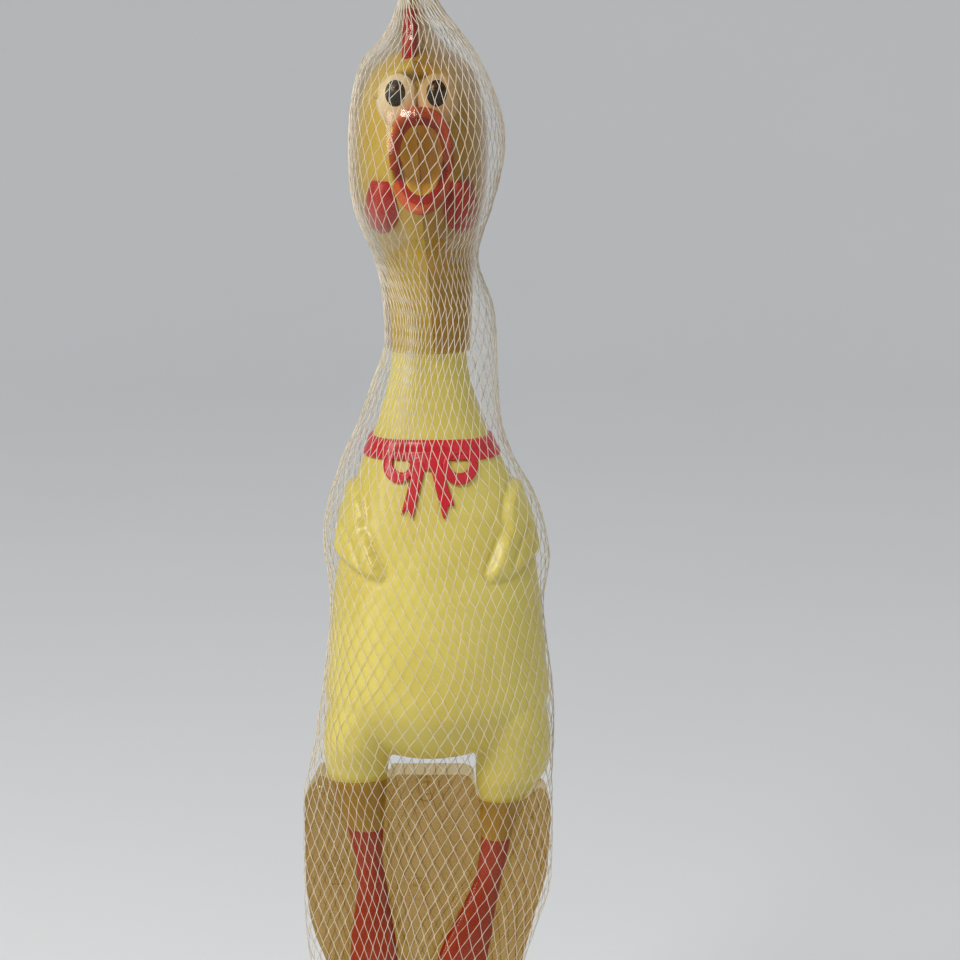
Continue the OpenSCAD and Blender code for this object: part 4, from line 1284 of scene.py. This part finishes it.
def film(name, tint, dark, gloss):
    """Thin tinted film: mostly see-through, with a glossy sheen that grows at a glance."""
    look = Look(name)
    look.tree.nodes.remove(look.shader)
    clear = look.node("ShaderNodeBsdfTransparent")
    streak = look.range(look.noise(14, 3, (0.7, 0.7, 2.2)), 0.35, 0.7)
    look.link(look.mix(streak, tint, dark), clear.inputs["Color"])
    shine = look.node("ShaderNodeBsdfGlossy")
    shine.inputs["Color"].default_value = (1, 1, 1, 1)
    shine.inputs["Roughness"].default_value = gloss
    normal = look.bump([(look.noise(13, 2, (1, 1, 3)), 0.38)])
    look.link(normal, shine.inputs["Normal"])
    glance = look.node("ShaderNodeLayerWeight")
    look.link(normal, glance.inputs["Normal"])
    steep = look.math("POWER", glance.outputs["Facing"], 5.0)
    blend = look.node("ShaderNodeMixShader")
    look.link(look.math("ADD", look.math("MULTIPLY", steep, 0.9), 0.022), blend.inputs[0])
    look.link(clear.outputs[0], blend.inputs[1])
    look.link(shine.outputs[0], blend.inputs[2])
    look.link(blend.outputs[0], look.output.inputs["Surface"])
    return look.material


def make_thread(name, pale, shade, roughness):
    look = Look(name, Roughness=roughness)
    look.mottle(2.4, 2, pale, shade)
    look.dimpled((look.noise(0.25, 2, (1, 1, 6)), 0.04))
    return look.material


def make_plastic(name, base, deep, roughness):
    look = Look(name, Roughness=roughness)
    look.mottle(9, 3, base, deep)
    look.uneven(3, roughness - 0.06, roughness + 0.08)
    look.dimpled((look.noise(0.4, 2), 0.015))
    return look.material


def make_metal():
    look = Look("clip_metal", Metallic=1.0, Roughness=0.32)
    look.mottle(3, 4, (0.62, 0.61, 0.6), (0.36, 0.35, 0.34), 0.4)
    look.uneven(1.2, 0.22, 0.48, (1, 1, 0.2))
    look.dimpled((look.noise(0.5, 3, (3, 3, 0.3)), 0.03))
    return look.material


TAG_TILT = math.radians(16)
TAG_SIZE, TAG_CORNER = (90.0, 56.0), 6.0
TAG_BORDER, TAG_LINE = 2.6, 3.3
TAG_LABEL = (27.0, 13.0)      # half width and half height of the pale oval
TAG_RAYS = 18.0


def make_tag():
    """Printed card: blue border, white line, and a dark red field with faint rays and a plain pale label."""
    low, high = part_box("hang_tag")
    cx, cz = (low.x + high.x) / 2 / MM, (low.z + high.z) / 2 / MM
    look = Look("tag_card", Roughness=0.22)
    x, z = look.math("SUBTRACT", look.axis(0), cx), look.math("SUBTRACT", look.axis(2), cz)
    c, s = math.cos(TAG_TILT), math.sin(TAG_TILT)
    u = look.math("SUBTRACT", look.math("MULTIPLY", x, c), look.math("MULTIPLY", z, s))
    v = look.math("ADD", look.math("MULTIPLY", x, s), look.math("MULTIPLY", z, c))
    over, deep = [], []
    for value, size in ((u, TAG_SIZE[0]), (v, TAG_SIZE[1])):
        out = look.math("ABSOLUTE", value)
        over.append(look.math("MAXIMUM", look.math("SUBTRACT", out, size / 2 - TAG_CORNER), 0.0))
        deep.append(look.math("SUBTRACT", size / 2, out))
    corner = look.math("SUBTRACT", TAG_CORNER, look.length(*over))
    inset = look.math("MINIMUM", corner, look.math("MINIMUM", *deep))
    rays = look.math("SINE", look.math("MULTIPLY", look.math("ARCTAN2", v, u), TAG_RAYS))
    red = look.mix(look.range(rays, -0.15, 0.15), from_srgb(116, 22, 30), from_srgb(134, 30, 36))
    label = look.length(look.math("DIVIDE", u, TAG_LABEL[0]), look.math("DIVIDE", v, TAG_LABEL[1]))
    field = look.mix(look.range(label, 0.98, 1.0), from_srgb(228, 214, 176), red)
    lined = look.mix(look.range(inset, TAG_LINE - 0.05, TAG_LINE + 0.05), (0.85, 0.85, 0.82), field)
    blue = from_srgb(52, 132, 164)
    printed = look.mix(look.range(inset, TAG_BORDER - 0.05, TAG_BORDER + 0.05), blue, lined)
    worn = look.range(look.noise(1.3, 3), 0.62, 0.75, 0.0, 0.18)
    look.colour(look.mix(worn, printed, (0.7, 0.7, 0.68)))
    look.dimpled((look.noise(7, 3), 0.12), (look.noise(0.5, 2), 0.01))
    return look.material


# ------------------------------------------------------------------ stage

STAGE_RADIUS = 2600.0
STAGE_CURVE = 1500.0
STAGE_HEIGHT = 1700.0
STAGE_DROP = 60.0            # how far the floor lies below the tail
STAGE_COUNT = 96
LIGHT_LIFT = Vector((0, 0, 0.22))
LIGHT_AIM_Z = 230.0
WARM, COOL = (1.0, 0.975, 0.94), (0.93, 0.96, 1.0)
# Place in millimetres above the base, size in metres, power in watts and colour
LIGHTS = {
    "key": ((-620, -900, 900), (0.55, 0.4), 12.5, WARM),
    "window": ((-1300, -500, 420), (0.3, 0.9), 4.5, WARM),
    "fill": ((1300, -1100, 300), (1.2, 1.2), 1.8, COOL)}


def make_stage():
    """A pale floor that curves up into a wall all round, and soft lights."""
    floor_z = height_mm(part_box("net_tail_bottom")[0][2]) - STAGE_DROP
    profile = [(1, 0), (STAGE_RADIUS * 0.5, 0), (STAGE_RADIUS, 0)]
    profile += [(STAGE_RADIUS + STAGE_CURVE * math.sin(a), STAGE_CURVE * (1 - math.cos(a)))
                for a in np.linspace(0, math.pi / 2, 14)[1:]]
    profile.append((STAGE_RADIUS + STAGE_CURVE, STAGE_HEIGHT))
    turn = full_turn(STAGE_COUNT)
    rings = [np.stack([r * np.cos(turn), r * np.sin(turn), np.full(STAGE_COUNT, floor_z + z)], axis=1)
             for r, z in profile]
    faces = grid_faces(len(profile), STAGE_COUNT, True).tolist() + [list(range(STAGE_COUNT))[::-1]]
    floor = new_object("floor", np.vstack(rings), faces)
    look = Look("floor", Roughness=0.85)
    look.colour(look.mix(look.noise(400, 3), (0.77, 0.77, 0.765), (0.80, 0.80, 0.795)))
    floor.data.materials.append(look.material)
    world = bpy.data.worlds.new("studio")
    bpy.context.scene.world = world
    world.use_nodes = True
    world.node_tree.nodes["Background"].inputs["Color"].default_value = (*COOL, 1)
    world.node_tree.nodes["Background"].inputs["Strength"].default_value = 0.6
    for name, (place, size, power, colour) in LIGHTS.items():
        light = bpy.data.lights.new(name, "AREA")
        light.shape = "RECTANGLE"
        light.size, light.size_y = size
        light.energy = power
        light.color = colour
        holder = bpy.data.objects.new(name, light)
        bpy.context.collection.objects.link(holder)
        holder.location = row(place) + LIGHT_LIFT
        aim = row((0, 0, LIGHT_AIM_Z)) - holder.location
        holder.rotation_euler = aim.to_track_quat("-Z", "Y").to_euler()


# ------------------------------------------------------------------ the object

STANDS_FOR = {
    "head_skin_soft": ["head_skin"], "neck_skin_upper": ["neck_skin"], "neck_skin_lower": ["neck_skin"],
    "torso_skin_soft": ["torso_skin", "left_wing", "right_wing"], "belly_skin_soft": ["belly_skin"],
    "left_thigh_soft": ["left_thigh_skin"], "right_thigh_soft": ["right_thigh_skin"],
    "left_drumstick_soft": ["left_drumstick"], "right_drumstick_soft": ["right_drumstick"],
    "left_leg_soft": ["left_leg"], "right_leg_soft": ["right_leg"],
    "net_head_threads": ["net_head"], "net_neck_upper": ["net_neck"], "net_neck_lower": ["net_neck"],
    "net_torso_threads": ["net_torso"], "net_thigh_threads": ["net_thighs"], "net_feet_threads": ["net_feet"]}
# Where the skin and the net bend: the two bodies, and the points that the bend runs between
BENDS = {
    "upper": ("head", "neck", (0, 0, NECK_TOP_Z), (0, 0, NECK_MID_Z)),
    "lower": ("neck", "torso", (0, 0, NECK_MID_Z), (0, 0, NECK_LOW_Z)),
    "thigh": ("torso", "legs", (0, 0, HIP_Z), (0, 0, DRUM_Z)),
    "belly": ("torso", "belly", (0, DENT_EDGE_Y, DENT_Z), (0, DENT_MIDDLE_Y, DENT_Z))}


def dress(piece, material, nodes=(), body=None):
    """Gives a piece its material, hides the CAD nodes it stands for and hangs it on the body it rides on."""
    piece.data.materials.clear()
    piece.data.materials.append(material)
    if nodes:
        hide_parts(*nodes)
    if body:
        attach(piece, body)


def dress_bending(name, piece, material):
    """Dresses a piece of the skin or the net: a piece at a bend keeps its place in the row frame, and any
    other rides on one body.
    """
    dress(piece, material, STANDS_FOR[name])
    for word, (a, b, start, end) in BENDS.items():
        if word in name:
            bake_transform(piece)
            return
    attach(piece, "head" if "head" in name else "torso" if "torso" in name else "legs")


def main():
    make_stage()
    vinyl = make_vinyl()
    orange, crimson, beak_orange, cream, ribbon_red, inside = (
        painted(name).material for name in PAINTS if name != "yellow_vinyl")
    black = paint("black_paint", (0.012, 0.012, 0.012), (0.02, 0.018, 0.016), (0.05, 0.05, 0.05),
                  0.2, 0.01).material
    thread = make_thread("net_thread", (0.72, 0.65, 0.51), (0.58, 0.51, 0.39), 0.42)
    bunched = make_thread("bunched_net", (0.84, 0.82, 0.76), (0.68, 0.66, 0.6), 0.5)
    amber_left = film("amber_film_left", (0.93, 0.885, 0.80), (0.91, 0.86, 0.76), 0.09)
    # The right half of the head shell takes a darker, browner copy of the same amber film: painted shade, as
    # the light falls from the left
    amber_right_painted_shade = film("amber_film_right_painted_shade", (0.85, 0.765, 0.64), (0.825, 0.73, 0.59), 0.09)
    amber_sheet = film("amber_film_sheet", (0.85, 0.755, 0.555), (0.83, 0.73, 0.52), 0.11)
    metal = make_metal()
    white = make_plastic("white_plastic", (0.82, 0.82, 0.79), (0.74, 0.74, 0.71), 0.42)
    clear = make_plastic("reed_film", (0.62, 0.68, 0.74), (0.55, 0.6, 0.66), 0.18)
    tie = make_plastic("tie_plastic", (0.85, 0.85, 0.85), (0.76, 0.76, 0.77), 0.25)

    skin = build_skin()
    skin_tree = tree_of(skin)
    ribbon = build_ribbon(skin_tree)
    pieces = split_skin(skin)
    outer = [points_mm(skin), points_mm(ribbon)]
    bpy.data.objects.remove(skin)
    for name, piece in pieces.items():
        if name in ("left_leg_soft", "right_leg_soft"):
            dress_bending(name, piece, orange)
        else:
            dress_bending(name, piece, vinyl)
    dress(ribbon, ribbon_red, ["neck_ribbon"], "torso")

    upper, lower, upper_lining, lower_lining, mouth = build_beak()
    face = [(upper, beak_orange, "orange_red_vinyl", ["upper_beak"]),
            (lower, beak_orange, "orange_red_vinyl", ["lower_beak"]),
            (upper_lining, crimson, "crimson_vinyl", []), (lower_lining, crimson, "crimson_vinyl", []),
            # The mouth takes the lightened vinyl: painted light in its hollow
            (mouth, inside, "yellow_vinyl", []),
            (build_wattle("left_wattle_soft", -16.9, 6), crimson, "crimson_vinyl", ["left_wattle"]),
            (build_wattle("right_wattle_soft", 10.8, -6), crimson, "crimson_vinyl", ["right_wattle"]),
            (build_comb(), crimson, "crimson_vinyl", ["comb"])]
    for side in EYES:
        eye, pupil = build_eye(side)
        face.append((eye, cream, "cream_paint", [f"{side}_eye_white"]))
        face.append((pupil, black, "black_paint", [f"{side}_pupil"]))
    trees = [skin_tree]
    for piece, material, slot, nodes in face:
        dress(piece, material, nodes, "head")
        outer.append(points_mm(piece))
        trees.append(tree_of(piece))

    shells = [(build_head_shell("left", trees), amber_left, "head_shell_left", "head"),
              (build_head_shell("right", trees), amber_right_painted_shade, "head_shell_right", "head"),
              (build_foot_shell(True, skin_tree), amber_sheet, "foot_shell_front", "legs"),
              (build_foot_shell(False, skin_tree), amber_sheet, "foot_shell_rear", "legs")]
    for piece, material, node, body in shells:
        dress(piece, material, [node], body)
        outer.append(points_mm(piece))

    for name, piece in build_net(np.vstack(outer)).items():
        dress_bending(name, piece, thread)

    for node, body in (("net_clip_top", "head"), ("net_clip_bottom", "legs")):
        clip = build_clip(f"{node}_crimped", height_mm(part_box(node)[0][2]))
        dress(clip, metal, [node], body)
    dress(build_loop(), bunched, ["net_hang_loop"], "head")
    dress(build_tail(), bunched, ["net_tail_bottom"], "legs")

    nodes = frame["nodes"]
    for name, material in (("squawker_barrel", white), ("reed_seat", white), ("reed_wedge", white),
                           ("reed_tongue", clear), ("tag_tie", tie), ("hang_tag", make_tag())):
        nodes[name].data.materials.clear()
        nodes[name].data.materials.append(material)


main()
